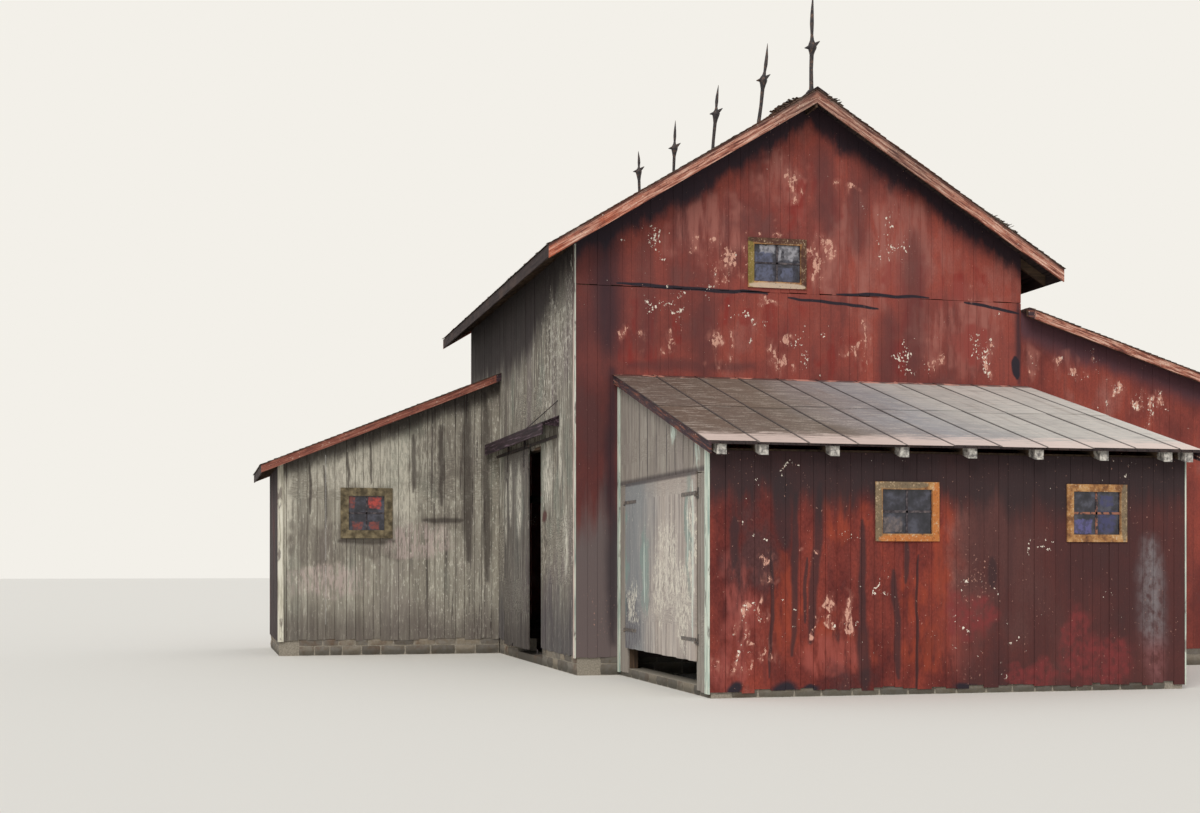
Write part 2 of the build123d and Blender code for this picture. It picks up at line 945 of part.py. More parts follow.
def shed_rafters():
    """Rafters from the main wall to the front plate, with their tails left open to view."""
    plate_rear = shed_depth - board
    seats = [(0, ledger_width), (plate_rear - light_seat_width, plate_rear)]
    outline = shed_outline(shed_roof.rafter(0, shed_roof_end - shed_tail_setback, seats))
    ends = [shed_left_face + shed_rafter_width / 2, side_face - shed_rafter_width / 2]
    places = []
    x = shed_first_rafter
    while x < ends[1] - shed_rafter_width:
        places.append(x)
        x += shed_rafter_spacing
    places = [ends[0]] + places + [ends[1]]
    return [slab_along(outline, middle_band(x, shed_rafter_width)) for x in places]


def shed_front_wall():
    """Front boards of the shed, with two windows cut through."""
    top = shed_roof.under_rafter(shed_depth)
    across = (shed_left, half_width)
    boards = block(across, (shed_front, shed_front_face), (shed_wall_bottom, top))
    for x in shed_window_x:
        size = (shed_window_width, shed_window_height)
        boards -= window_hole(x, shed_window_z, *size, shed_front, 1)
    return [boards]


def shed_side_outline(bottom):
    """Side view of the shed wall from this height up to the roof boards."""
    depth = shed_depth - board
    return shed_outline([
        (0, bottom),
        (depth, bottom),
        (depth, shed_roof.under_deck(depth)),
        (0, shed_roof.under_deck(0)),
    ])


def shed_side_walls():
    """Right wall of the shed, and the narrow strips beside the doorway on its left."""
    left = (shed_left, shed_left_face)
    upright = (shed_wall_bottom, shed_door_head)
    return [
        slab_along(shed_side_outline(shed_wall_bottom), (side_face, half_width)),
        block(left, (shed_front_face, shed_door_front_edge), upright),
        block(left, (shed_door_rear_edge, front), upright),
    ]


def shed_wall_over_doors():
    """Boards over the shed doors, up to the roof boards."""
    return [slab_along(shed_side_outline(shed_door_head), (shed_left, shed_left_face))]


def shed_roof_boards():
    """Roof boards of the shed, between its verge boards."""
    outline = shed_outline(shed_roof.band(0, shed_roof_end, shed_roof.coat, shed_roof.deck))
    left = shed_left - shed_side_overhang + verge_board
    right = half_width + shed_side_overhang - verge_board
    return [slab_along(outline, (left, right))]


def shed_sheets():
    """Metal sheets on the shed, which hang over the verge boards and past the eave."""
    end = shed_roof_end + coat_overhang
    outline = shed_outline(shed_roof.band(0, end, 0, shed_roof.coat))
    left = shed_left - shed_side_overhang - coat_overhang
    right = half_width + shed_side_overhang + coat_overhang
    return [slab_along(outline, (left, right))]


def corner_boards():
    """Boards that cover the ends of the wall boards at the corners."""
    shed_edges = (shed_depth - shed_corner_board_width, shed_depth)
    shed_corner = shed_outline([
        (shed_edges[0], shed_wall_bottom),
        (shed_edges[1], shed_wall_bottom),
        (shed_edges[1], shed_roof.under_deck(shed_edges[1])),
        (shed_edges[0], shed_roof.under_deck(shed_edges[0])),
    ])
    wall_corner = shed_outline([
        (0, shed_wall_bottom),
        (corner_board_width, shed_wall_bottom),
        (corner_board_width, shed_roof.under_deck(corner_board_width)),
        (0, shed_roof.under_deck(0)),
    ])
    shed_across = (shed_left - corner_board, shed_left)
    boards = [slab_along(shed_corner, shed_across), slab_along(wall_corner, shed_across)]
    boards.append(slab_along(shed_corner, (half_width, half_width + corner_board)))
    barn_across = (-half_width - corner_board, -half_width)
    barn_top = main_roof.under_rafter(half_width + corner_board)
    boards.append(block(barn_across, (front, front + corner_board_width), (wall_bottom, barn_top)))
    for side, lean_front, outer, slope in lean_to_sizes():
        faces = [(rear, 1)]
        if side < 0:
            faces.append((lean_front, -1))
        end = outer - half_width
        start = end - corner_board_width
        outline = [
            (start, wall_bottom),
            (end, wall_bottom),
            (end, slope.under_deck(end)),
            (start, slope.under_deck(start)),
        ]
        for face, outward in faces:
            along = (face, face + outward * corner_board)
            boards.append(slab_across(outline, along, side, half_width))
    return boards


# Shed doors

def shed_leaf_edges():
    """Hinge edge and free edge of the front leaf and of the rear leaf along Y."""
    middle = (shed_door_front_edge + shed_door_rear_edge) / 2
    front = (shed_door_front_edge - door_lap, middle - leaf_gap / 2)
    rear = (shed_door_rear_edge + door_lap, middle + leaf_gap / 2)
    return front, rear


def shed_leaf(hinge_edge, free_edge):
    """Door leaf of upright boards, with three ledges and two braces behind."""
    inner = shed_left - door_gap
    toward = 1 if free_edge > hinge_edge else -1
    upright = (shed_leaf_bottom, shed_leaf_top)
    leaf = block((inner - door_boards, inner), (hinge_edge, free_edge), upright)
    start = hinge_edge + toward * ledge_inset
    end = free_edge - toward * ledge_inset / 2
    depth = (inner, inner + door_ledge)
    first = shed_leaf_bottom + ledge_inset
    last = shed_leaf_top - ledge_inset - door_ledge_depth
    heights = spread(first, last, ledge_spacing)
    for bottom in heights:
        leaf += block(depth, (start, end), (bottom, bottom + door_ledge_depth))
    for lower, upper in zip(heights, heights[1:]):
        outline = [
            (start, lower + door_ledge_depth),
            (start + toward * brace_board_width, lower + door_ledge_depth),
            (end, upper),
            (end - toward * brace_board_width, upper),
        ]
        leaf += slab_along(outline, depth)
    return leaf


def hinge_axis_y(hinge_edge, toward):
    """Middle of the hinge pin along Y."""
    return hinge_edge - toward * hinge_edge_gap


def hinge_heights():
    """Middles of the two strap hinges of a leaf."""
    return (shed_leaf_bottom + strap_inset, shed_leaf_top - strap_inset)


def leaf_straps(hinge_edge, toward):
    """Two strap hinges on the outer face of a leaf, each with an eye for the pin."""
    pin_y = hinge_axis_y(hinge_edge, toward)
    outer = shed_left - door_gap - door_boards
    straps = []
    for z in hinge_heights():
        upright = middle_band(z, strap_width)
        along = (pin_y, hinge_edge + toward * strap_length)
        strap = block((outer - strap_thickness, outer), along, upright)
        strap += Pos(hinge_x, pin_y, z) * Cylinder(eye_radius, strap_width)
        strap -= Pos(hinge_x, pin_y, z) * Cylinder(pin_radius + pin_clearance, strap_width)
        straps.append(strap)
    return straps


def pintles():
    """Pins on plates beside the doorway, which carry the strap hinges."""
    pieces = []
    for hinge_edge, free_edge in shed_leaf_edges():
        toward = 1 if free_edge > hinge_edge else -1
        pin_y = hinge_axis_y(hinge_edge, toward)
        plate_along = (pin_y + toward * pintle_plate_width / 2, pin_y - toward * pintle_plate_width)
        for z in hinge_heights():
            seat = z - strap_width / 2 - pin_clearance
            plate = block(
                (shed_left, shed_left - pintle_plate), plate_along, middle_band(z, pintle_plate_height)
            )
            arm = block(
                (shed_left, hinge_x - pin_radius), middle_band(pin_y, 2 * pin_radius),
                (seat - pintle_arm_depth, seat),
            )
            pin_length = strap_width + pintle_arm_depth + 2 * pin_clearance
            pin_bottom = seat - pintle_arm_depth
            pin = Pos(hinge_x, pin_y, pin_bottom + pin_length / 2) * Cylinder(pin_radius, pin_length)
            pieces.append(plate + arm + pin)
    return pieces


# Wagon door

def wagon_door():
    """Tall sliding leaf of upright boards, with ledges behind."""
    inner = -half_width - wagon_wall_gap
    face = inner - door_ledge
    along = (wagon_rest_edge, wagon_rest_edge + wagon_leaf_width)
    leaf = block((face - board, face), along, (wagon_leaf_bottom, wagon_leaf_top))
    depth = (face, inner)
    ledge_along = (along[0] + ledge_inset, along[1] - ledge_inset)
    first = wagon_leaf_bottom + ledge_inset
    last = wagon_leaf_top - ledge_inset - door_ledge_depth
    heights = spread(first, last, ledge_spacing)
    for bottom in heights:
        leaf += block(depth, ledge_along, (bottom, bottom + door_ledge_depth))
    for lower, upper in zip(heights, heights[1:]):
        outline = [
            (ledge_along[0], lower + door_ledge_depth),
            (ledge_along[0] + brace_board_width, lower + door_ledge_depth),
            (ledge_along[1], upper),
            (ledge_along[1] - brace_board_width, upper),
        ]
        leaf += slab_along(outline, depth)
    return [leaf]


def wagon_hangers():
    """Straps on the leaf's face, each with an axle and a grooved wheel on the rail."""
    pieces = []
    for y in (wagon_rest_edge + hanger_inset, wagon_rest_edge + wagon_leaf_width - hanger_inset):
        strap = block(
            (wagon_face, wagon_face - hanger_thickness), middle_band(y, hanger_width),
            (wagon_leaf_top - hanger_length, wheel_z + axle_radius * 2),
        )
        half = wheel_width / 2
        tread = wheel_tread / 2
        flange = wheel_radius + wheel_flange
        profile = [
            (0, -half), (flange, -half), (flange, -tread), (wheel_radius, -tread),
            (wheel_radius, tread), (flange, tread), (flange, half), (0, half),
        ]
        face = Face(Wire.make_polygon([(0, radius, reach) for radius, reach in profile]))
        wheel = Rot(0, 90, 0) * revolve(face, Axis.Z)
        wheel = Pos(rail_middle, y, wheel_z) * wheel
        axle_length = abs(wagon_face - hanger_thickness - rail_middle) + half
        axle = Rot(0, 90, 0) * Cylinder(axle_radius, axle_length)
        axle = Pos(wagon_face - hanger_thickness + axle_length / 2, y, wheel_z) * axle
        pieces.append(strap + axle + wheel)
    return pieces


def wagon_rail():
    """Flat rail on edge, held off the wall by round spacers."""
    upright = (rail_bottom, rail_top)
    rail = block(middle_band(rail_middle, rail_thickness), (rail_front, rail_rear), upright)
    length = abs(rail_middle) - rail_thickness / 2 - half_width
    for y in spread(rail_front + spacer_spacing / 4, rail_rear - spacer_spacing / 4, spacer_spacing):
        spacer = Rot(0, 90, 0) * Cylinder(spacer_radius, length)
        rail += Pos(-half_width - length / 2, y, (rail_bottom + rail_top) / 2) * spacer
    return [rail]


def track_hood():
    """Sloping board roof over the rail."""
    outline = [
        (0, hood_height),
        (hood_reach, hood_height - hood_drop),
        (hood_reach, hood_height - hood_drop - hood_board),
        (0, hood_height - hood_board),
    ]
    return [slab_across(outline, (hood_front, hood_rear), -1, half_width)]


def hood_brackets():
    """Board brackets that hold the hood off the wall."""
    reach = hood_reach - eave_board
    under = hood_height - hood_board
    outline = [
        (0, hood_bracket_bottom),
        (0, under),
        (reach, under - hood_drop * reach / hood_reach),
        (reach, under - hood_drop * reach / hood_reach - hood_board),
    ]
    first = hood_front + hood_bracket
    last = hood_rear - hood_bracket
    places = spread(first, last, (last - first) / (hood_bracket_count - 1))
    return [slab_across(outline, middle_band(y, hood_bracket), -1, half_width) for y in places]


def hood_stay():
    """Iron rod that slants from the hood's top up to the wall."""
    reach = hood_reach - hood_stay_inset
    foot = Vector(-half_width - reach, hood_stay_place, hood_height - hood_drop * reach / hood_reach)
    head = Vector(-half_width, hood_stay_place - hood_stay_slant, hood_height + hood_stay_rise)
    way = head - foot
    start = Plane(origin=foot - way.normalized() * hood_stay_seat, z_dir=way)
    length = way.length + hood_stay_seat + hood_stay_tail
    rod = start * Cylinder(hood_stay_radius, length, align=(Align.CENTER, Align.CENTER, Align.MIN))
    before_wall = block(
        (-half_width - hood_reach, -half_width),
        (hood_stay_place - 2 * hood_stay_slant, hood_stay_place + hood_stay_slant),
        (hood_bracket_bottom, hood_height + 2 * hood_stay_rise),
    )
    return [rod & before_wall - track_hood()[0]]


def wagon_guides():
    """Two bent stays at the foot of the doorway, which keep the leaf against the wall."""
    arm_top = wagon_leaf_bottom - guide_drop
    outer = wagon_face - guide_gap
    guides = []
    for y in (wagon_doorway[0] - guide_width, wagon_doorway[1] + guide_width / 2):
        along = middle_band(y, guide_width)
        arm = block((-side_face, outer), along, (arm_top - guide_thickness, arm_top))
        lip = block(
            (outer, outer - guide_thickness), along,
            (arm_top - guide_thickness, wagon_leaf_bottom + guide_rise),
        )
        guides.append(arm + lip)
    return guides


frames, sheets = all_windows()
left_beside, left_over = side_wall(-1)
right_beside, right_over = side_wall(1)
front_edges, rear_edges = shed_leaf_edges()

sub_parts = {
    "footing_side_walls": footing_side_walls(),
    "footing_end_walls": footing_end_walls(),
    "wagon_doorway_sill": wagon_doorway_sill(),
    "main_posts": main_posts(),
    "main_girts": main_girts(),
    "tie_beams": tie_beams(),
    "wall_plates": wall_plates(),
    "knee_braces": knee_braces(),
    "gable_studs": gable_studs(),
    "main_rafters": main_rafters(),
    "ridge_beam": ridge_beam(),
    "front_wall": end_wall(front, 1),
    "front_gable": gable(front, 1, 1),
    "rear_wall": end_wall(rear, -1),
    "rear_gable": gable(rear, -1, -1),
    "left_wall": left_beside,
    "left_wall_over_doorways": left_over,
    "right_wall": right_beside,
    "right_wall_over_doorway": right_over,
    "main_roof_left": main_roof_half(-1),
    "main_roof_right": main_roof_half(1),
    "main_shingles": main_shingles(),
    "ridge_cap": ridge_cap(),
    "verge_boards": verge_boards(),
    "eave_boards": eave_boards(),
    "lightning_rods": lightning_rods(),
    "window_frames": frames,
    "window_glass": sheets,
    "lean_to_posts": lean_to_posts(),
    "lean_to_beams": lean_to_beams(),
    "lean_to_rafters": lean_to_rafters(),
    "left_lean_to_front": left_front_wall(),
    "right_lean_to_front": right_front_wall(),
    "lean_to_side_walls": lean_to_side_walls(),
    "lean_to_rear_walls": lean_to_rear_walls(),
    "left_lean_to_roof": lean_to_roof(0),
    "right_lean_to_roof": lean_to_roof(1),
    "lean_to_shingles": lean_to_shingles(),
    "shed_posts": shed_posts(),
    "shed_beams": shed_beams(),
    "shed_rafters": shed_rafters(),
    "shed_front_wall": shed_front_wall(),
    "shed_side_walls": shed_side_walls(),
    "shed_wall_over_doors": shed_wall_over_doors(),
    "shed_roof": shed_roof_boards(),
    "shed_sheets": shed_sheets(),
    "corner_boards": corner_boards(),
    "shed_door_front": [shed_leaf(*front_edges)],
    "shed_door_front_straps": leaf_straps(front_edges[0], 1),
    "shed_door_rear": [shed_leaf(*rear_edges)],
    "shed_door_rear_straps": leaf_straps(rear_edges[0], -1),
    "pintles": pintles(),
    "wagon_door": wagon_door(),
    "wagon_door_hangers": wagon_hangers(),
    "wagon_door_rail": wagon_rail(),
    "wagon_door_guides": wagon_guides(),
    "track_hood": track_hood(),
    "hood_brackets": hood_brackets(),
    "hood_stay": hood_stay(),
}

os.makedirs("parts", exist_ok=True)
for name, pieces in sub_parts.items():
    save(name, pieces)
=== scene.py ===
import math

import bmesh
import bpy
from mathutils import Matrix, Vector


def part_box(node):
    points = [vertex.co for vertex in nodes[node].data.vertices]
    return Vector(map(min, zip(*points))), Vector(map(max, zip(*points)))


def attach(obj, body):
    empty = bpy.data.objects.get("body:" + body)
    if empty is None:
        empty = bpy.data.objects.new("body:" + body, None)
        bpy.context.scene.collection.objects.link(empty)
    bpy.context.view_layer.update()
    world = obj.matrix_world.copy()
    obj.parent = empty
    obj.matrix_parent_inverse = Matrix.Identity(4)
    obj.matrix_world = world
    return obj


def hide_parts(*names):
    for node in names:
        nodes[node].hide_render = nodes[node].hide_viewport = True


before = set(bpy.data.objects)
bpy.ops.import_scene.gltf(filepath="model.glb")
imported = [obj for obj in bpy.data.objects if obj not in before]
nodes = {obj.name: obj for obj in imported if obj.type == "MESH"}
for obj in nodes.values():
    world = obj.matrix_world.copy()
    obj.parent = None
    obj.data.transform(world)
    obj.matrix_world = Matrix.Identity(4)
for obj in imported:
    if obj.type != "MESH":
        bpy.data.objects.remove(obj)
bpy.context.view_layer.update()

# Viewer
# The camera stands in front of the barn, well to its left, at the height of a tall person's eyes.
# The picture is framed upwards, so the horizon lies in its lower part.
eye_place = (-10.654, -27.36, 1.933)
eye_turn = math.radians(-14.04)
lens_length = 48.6
upward_framing = 0.1314

camera_data = bpy.data.cameras.new("viewer")
camera_data.lens = lens_length
camera_data.sensor_width = 36
camera_data.shift_y = upward_framing
camera_data.clip_end = 500
camera = bpy.data.objects.new("viewer", camera_data)
camera.location = eye_place
camera.rotation_euler = (math.pi / 2, 0, eye_turn)
bpy.context.scene.collection.objects.link(camera)
bpy.context.scene.camera = camera
bpy.context.scene.view_settings.view_transform = "Standard"


# Floor and studio light
# A wide pale floor and a pale backdrop, one broad lamp high in front on the left, and an even
# light from all round.
def paint(red, green, blue):
    """Colour as it looks on a screen, 0 to 255, in the scale that shaders use."""
    parts = [channel / 255 for channel in (red, green, blue)]
    return (*[part / 12.92 if part <= 0.04045 else ((part + 0.055) / 1.055) ** 2.4 for part in parts], 1)


def add_node(tree, kind, inputs=None, output=0, **settings):
    """Adds a node whose inputs are plain values or other nodes' outputs, and returns one output."""
    node = tree.nodes.new(kind)
    for setting, value in settings.items():
        setattr(node, setting, value)
    for key, value in (inputs or {}).items():
        if isinstance(value, bpy.types.NodeSocket):
            tree.links.new(value, node.inputs[key])
        else:
            node.inputs[key].default_value = value
    return node.outputs[output]


def number(tree, operation, *values):
    """One step of arithmetic in a node tree."""
    return add_node(tree, "ShaderNodeMath", dict(enumerate(values)), operation=operation)


backdrop_colour = paint(243, 240, 233)
floor_colour = paint(226, 223, 216)
ambient_colour = (0.95, 0.97, 1.0, 1)
ambient_strength = 0.66
lamp_strength = 1.6
lamp_spread = math.radians(30)
lamp_turn = (math.radians(50), 0, math.radians(-34))
floor_reach = 200

world = bpy.data.worlds.new("studio")
world.use_nodes = True
bpy.context.scene.world = world
sky = world.node_tree
sky.nodes.clear()
path = sky.nodes.new("ShaderNodeLightPath")
in_gloss = number(sky, "MAXIMUM", path.outputs["Is Glossy Ray"], path.outputs["Is Transmission Ray"])
shown = number(sky, "MAXIMUM", path.outputs["Is Camera Ray"], in_gloss)
even_light = add_node(sky, "ShaderNodeBackground", {"Color": ambient_colour, "Strength": ambient_strength})
backdrop = add_node(sky, "ShaderNodeBackground", {"Color": backdrop_colour, "Strength": 1.0})
mixed = add_node(sky, "ShaderNodeMixShader", {0: shown, 1: even_light, 2: backdrop})
sky.links.new(mixed, sky.nodes.new("ShaderNodeOutputWorld").inputs["Surface"])

lamp_data = bpy.data.lights.new("broad lamp", "SUN")
lamp_data.energy = lamp_strength
lamp_data.angle = lamp_spread
lamp_data.color = (1.0, 0.97, 0.92)
lamp = bpy.data.objects.new("broad lamp", lamp_data)
lamp.rotation_euler = lamp_turn
bpy.context.scene.collection.objects.link(lamp)

floor_mesh = bpy.data.meshes.new("floor")
floor_corners = [(-1, -1), (1, -1), (1, 1), (-1, 1)]
floor_mesh.from_pydata([(x * floor_reach, y * floor_reach, 0) for x, y in floor_corners], [], [(0, 1, 2, 3)])
floor = bpy.data.objects.new("floor", floor_mesh)
bpy.context.scene.collection.objects.link(floor)
floor_material = bpy.data.materials.new("pale floor")
floor_material.use_nodes = True
floor_material.node_tree.nodes["Principled BSDF"].inputs["Base Color"].default_value = floor_colour
floor_material.node_tree.nodes["Principled BSDF"].inputs["Roughness"].default_value = 0.95
floor_mesh.materials.append(floor_material)


# Stone footings
# Low walls of split field stone in two rough courses, pointed with lime mortar. The red and grey
# boards hang a little over their outer face.
class Finish:
    """A surface finish made of nodes that all read the piece's own coordinates."""

    def __init__(self, name, roughness=0.85, shine=0.25):
        self.material = bpy.data.materials.new(name)
        self.material.use_nodes = True
        self.tree = self.material.node_tree
        self.shader = self.tree.nodes["Principled BSDF"]
        self.shader.inputs["Roughness"].default_value = roughness
        self.shader.inputs["Specular IOR Level"].default_value = shine
        self.place = add_node(self.tree, "ShaderNodeTexCoord", output="Object")
        split = self.tree.nodes.new("ShaderNodeSeparateXYZ")
        self.tree.links.new(self.place, split.inputs[0])
        self.x, self.y, self.z = split.outputs

    def tone(self, name="board"):
        """Number between 0 and 1 that each board, shingle or stone carries."""
        return add_node(self.tree, "ShaderNodeAttribute", output="Fac", attribute_name=name)

    def noise(self, stretch, detail=4, roughness=0.6, shift=None):
        """Cloudy pattern with this many clouds to the metre along each axis."""
        place = self.place
        if shift:
            apart = add_node(self.tree, "ShaderNodeVectorMath", {0: (17.0, 23.0, 31.0), 3: shift}, operation="SCALE")
            place = add_node(self.tree, "ShaderNodeVectorMath", {0: place, 1: apart}, operation="ADD")
        mapped = add_node(self.tree, "ShaderNodeMapping", {"Vector": place, "Scale": stretch})
        cloud = {"Vector": mapped, "Scale": 1.0, "Detail": detail, "Roughness": roughness}
        return add_node(self.tree, "ShaderNodeTexNoise", cloud)

    def band(self, value, low, high):
        """0 below the low value, 1 above the high one and smooth between them."""
        inputs = {"Value": value, "From Min": low, "From Max": high}
        return add_node(self.tree, "ShaderNodeMapRange", inputs, interpolation_type="SMOOTHSTEP")

    def sum(self, *values):
        total = values[0]
        for value in values[1:]:
            total = number(self.tree, "ADD", total, value)
        return total

    def product(self, *values):
        total = values[0]
        for value in values[1:]:
            total = number(self.tree, "MULTIPLY", total, value)
        return total

    def least(self, one, other):
        return number(self.tree, "MINIMUM", one, other)

    def most(self, one, other):
        return number(self.tree, "MAXIMUM", one, other)

    def opposite(self, value):
        return number(self.tree, "SUBTRACT", 1.0, value)

    def wavy(self, amount, scale):
        """The piece's own coordinates, pushed about by clouds of this many to the metre."""
        cloud = {"Vector": self.place, "Scale": scale, "Detail": 2.0, "Roughness": 0.6}
        push = vector(self.tree, "SUBTRACT", add_node(self.tree, "ShaderNodeTexNoise", cloud, "Color"), (0.5, 0.5, 0.5))
        return vector(self.tree, "ADD", self.place, scaled(self.tree, push, amount))

    def spots(self, places, sideways=False, ragged=0.7):
        """1 near any of the places on a wall: each is its place across, its height and its two reaches."""
        place = self.wavy(ragged, 2.2)
        nearest = 9.0
        for across, height, reach_across, reach_up in places:
            middle = (0.0, across, height) if sideways else (across, 0.0, height)
            reach = (far_away, reach_across, reach_up) if sideways else (reach_across, far_away, reach_up)
            away = vector(self.tree, "DIVIDE", vector(self.tree, "SUBTRACT", place, middle), reach)
            nearest = self.least(nearest, vector(self.tree, "LENGTH", away))
        return self.band(nearest, 1.3, 0.65)

    def panes(self, places):
        """1 on upright rectangles with uneven edges: each is its middle and its two reaches."""
        place = self.wavy(0.12, 8.0)
        nearest = 9.0
        for across, height, reach_across, reach_up in places:
            away = vector(self.tree, "SUBTRACT", place, (across, 0.0, height))
            away = vector(self.tree, "DIVIDE", away, (reach_across, far_away, reach_up))
            split = self.tree.nodes.new("ShaderNodeSeparateXYZ")
            self.tree.links.new(vector(self.tree, "ABSOLUTE", away), split.inputs[0])
            nearest = self.least(nearest, self.most(split.outputs["X"], split.outputs["Z"]))
        return self.band(nearest, 1.15, 0.85)

    def strokes(self, lines, sideways=False, softness=0.25, waver=0.16):
        """1 on lines that taper to their ends: each is its start, its end and half its width."""
        wall = (0.0, 1.0, 1.0) if sideways else (1.0, 0.0, 1.0)
        place = vector(self.tree, "MULTIPLY", self.wavy(waver, 1.2), wall)
        nearest = 9.0
        for start_across, start_height, end_across, end_height, width in lines:
            across = Vector((0, 1, 0)) if sideways else Vector((1, 0, 0))
            start = across * start_across + Vector((0, 0, start_height))
            run = across * end_across + Vector((0, 0, end_height)) - start
            rest = vector(self.tree, "SUBTRACT", place, start)
            share = vector(self.tree, "DOT_PRODUCT", rest, run / run.length_squared)
            share = self.least(self.most(share, 0.0), 1.0)
            off = vector(self.tree, "LENGTH", vector(self.tree, "SUBTRACT", rest, scaled(self.tree, run, share)))
            taper = number(self.tree, "POWER", number(self.tree, "ABSOLUTE", self.sum(share, -0.5)), 4.0)
            nearest = self.least(nearest, self.sum(self.product(off, 1 / width), self.product(taper, 9.0)))
        return self.band(nearest, 1 + softness, 1 - softness)

    def blend(self, share, under, over, mode="MIX"):
        """Lays one colour over another, by a share from 0 to 1."""
        inputs = {0: share, 6: under, 7: over}
        return add_node(self.tree, "ShaderNodeMix", inputs, 2, data_type="RGBA", blend_type=mode)

    def ramp(self, value, *stops):
        """Colours along a value, given as pairs of place and colour."""
        node = self.tree.nodes.new("ShaderNodeValToRGB")
        self.tree.links.new(value, node.inputs[0])
        scale = node.color_ramp.elements
        while len(scale) < len(stops):
            scale.new(0.5)
        for mark, (place, colour) in zip(scale, stops):
            mark.position = place
            mark.color = colour
        return node.outputs[0]

    def done(self, colour, height=None, depth=0.01):
        """Connects the colour, and the relief where there is one, and returns the material."""
        self.tree.links.new(colour, self.shader.inputs["Base Color"])
        if height is not None:
            relief = {"Height": height, "Distance": depth, "Strength": 0.7}
            self.tree.links.new(add_node(self.tree, "ShaderNodeBump", relief), self.shader.inputs["Normal"])
        return self.material


def vector(tree, operation, *values):
    """One step of vector arithmetic in a node tree."""
    output = 1 if operation in ("DOT_PRODUCT", "LENGTH") else 0
    return add_node(tree, "ShaderNodeVectorMath", dict(enumerate(values)), output, operation=operation)


def scaled(tree, direction, amount):
    """A vector times a number."""
    return add_node(tree, "ShaderNodeVectorMath", {0: direction, 3: amount}, operation="SCALE")


def random_number(tree, low, high, seed, marker=None):
    """Random number for each point, the same in every run."""
    inputs = {2: low, 3: high, "Seed": seed}
    if marker is not None:
        inputs["ID"] = marker
    return add_node(tree, "FunctionNodeRandomValue", inputs, 1)


def new_tree(name, **sizes):
    """Geometry node tree with a mesh input and named inputs for its sizes."""
    tree = bpy.data.node_groups.new(name, "GeometryNodeTree")
    kinds = {float: "NodeSocketFloat", int: "NodeSocketInt", tuple: "NodeSocketVector"}
    tree.interface.new_socket("Solid", in_out="INPUT", socket_type="NodeSocketGeometry")
    for label, value in sizes.items():
        kind = kinds.get(type(value), "NodeSocketMaterial")
        socket = tree.interface.new_socket(label, in_out="INPUT", socket_type=kind)
        if value is not None:
            socket.default_value = value
    tree.interface.new_socket("Result", in_out="OUTPUT", socket_type="NodeSocketGeometry")
    return tree, tree.nodes.new("NodeGroupInput").outputs


def end_tree(tree, geometry, material):
    """Gives the geometry its material and hands it to the tree's output."""
    done = add_node(tree, "GeometryNodeSetMaterial", {"Geometry": geometry, "Material": material})
    tree.links.new(done, tree.nodes.new("NodeGroupOutput").inputs[0])


def grow(name, tree, source, **sizes):
    """Runs a tree on a source mesh and returns the result as a piece with a plain mesh."""
    piece = bpy.data.objects.new(name, source)
    bpy.context.scene.collection.objects.link(piece)
    modifier = piece.modifiers.new(tree.name, "NODES")
    modifier.node_group = tree
    for item in tree.interface.items_tree:
        if item.in_out == "INPUT" and item.name in sizes:
            modifier[item.identifier] = sizes[item.name]
    graph = bpy.context.evaluated_depsgraph_get()
    mesh = bpy.data.meshes.new_from_object(
        piece.evaluated_get(graph), preserve_all_data_layers=True, depsgraph=graph
    )
    piece.modifiers.remove(modifier)
    piece.data = mesh
    return piece


def box_mesh(low, high):
    """Plain closed box, as a source for a tree."""
    shape = bmesh.new()
    bmesh.ops.create_cube(shape, size=1)
    middle = (Vector(low) + Vector(high)) / 2
    size = Vector(high) - Vector(low)
    for corner in shape.verts:
        corner.co = middle + Vector([part * side for part, side in zip(corner.co, size)])
    mesh = bpy.data.meshes.new("box")
    shape.to_mesh(mesh)
    shape.free()
    return mesh


def solid_mesh(*names):
    """Closed copy of the named pieces' solids, as a source for a tree."""
    shape = bmesh.new()
    for name in names:
        shape.from_mesh(nodes[name].data)
    bmesh.ops.remove_doubles(shape, verts=shape.verts, dist=0.00005)
    mesh = bpy.data.meshes.new(names[0])
    shape.to_mesh(mesh)
    shape.free()
    return mesh


def blocks_of(name):
    """Lowest and highest corner of each separate solid in a node."""
    shape = bmesh.new()
    shape.from_mesh(nodes[name].data)
    bmesh.ops.remove_doubles(shape, verts=shape.verts, dist=0.00005)
    left = set(shape.verts)
    boxes = []
    while left:
        group, edge = set(), [left.pop()]
        while edge:
            corner = edge.pop()
            group.add(corner)
            for link in corner.link_edges:
                other = link.other_vert(corner)
                if other in left:
                    left.remove(other)
                    edge.append(other)
        places = [corner.co.copy() for corner in group]
        low = Vector([min(place[axis] for place in places) for axis in range(3)])
        high = Vector([max(place[axis] for place in places) for axis in range(3)])
        boxes.append((low, high))
    shape.free()
    return sorted(boxes, key=lambda box: tuple(box[0]))


def join_pieces(name, pieces):
    """Joins pieces into the first one, under a new name."""
    shape = bmesh.new()
    for piece in pieces:
        shape.from_mesh(piece.data)
    mesh = pieces[0].data
    shape.to_mesh(mesh)
    shape.free()
    for piece in pieces[1:]:
        bpy.data.objects.remove(piece)
    pieces[0].name = name
    return pieces[0]


def fit(piece, body, slot, *replaced):
    """Says what body a piece rides on, and which nodes it stands for; slot is not used."""
    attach(piece, body)
    if replaced:
        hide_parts(*replaced)
    return piece


def dress(material, *names):
    """Gives carried-over nodes a finish."""
    for name in names:
        nodes[name].data.materials.clear()
        nodes[name].data.materials.append(material)


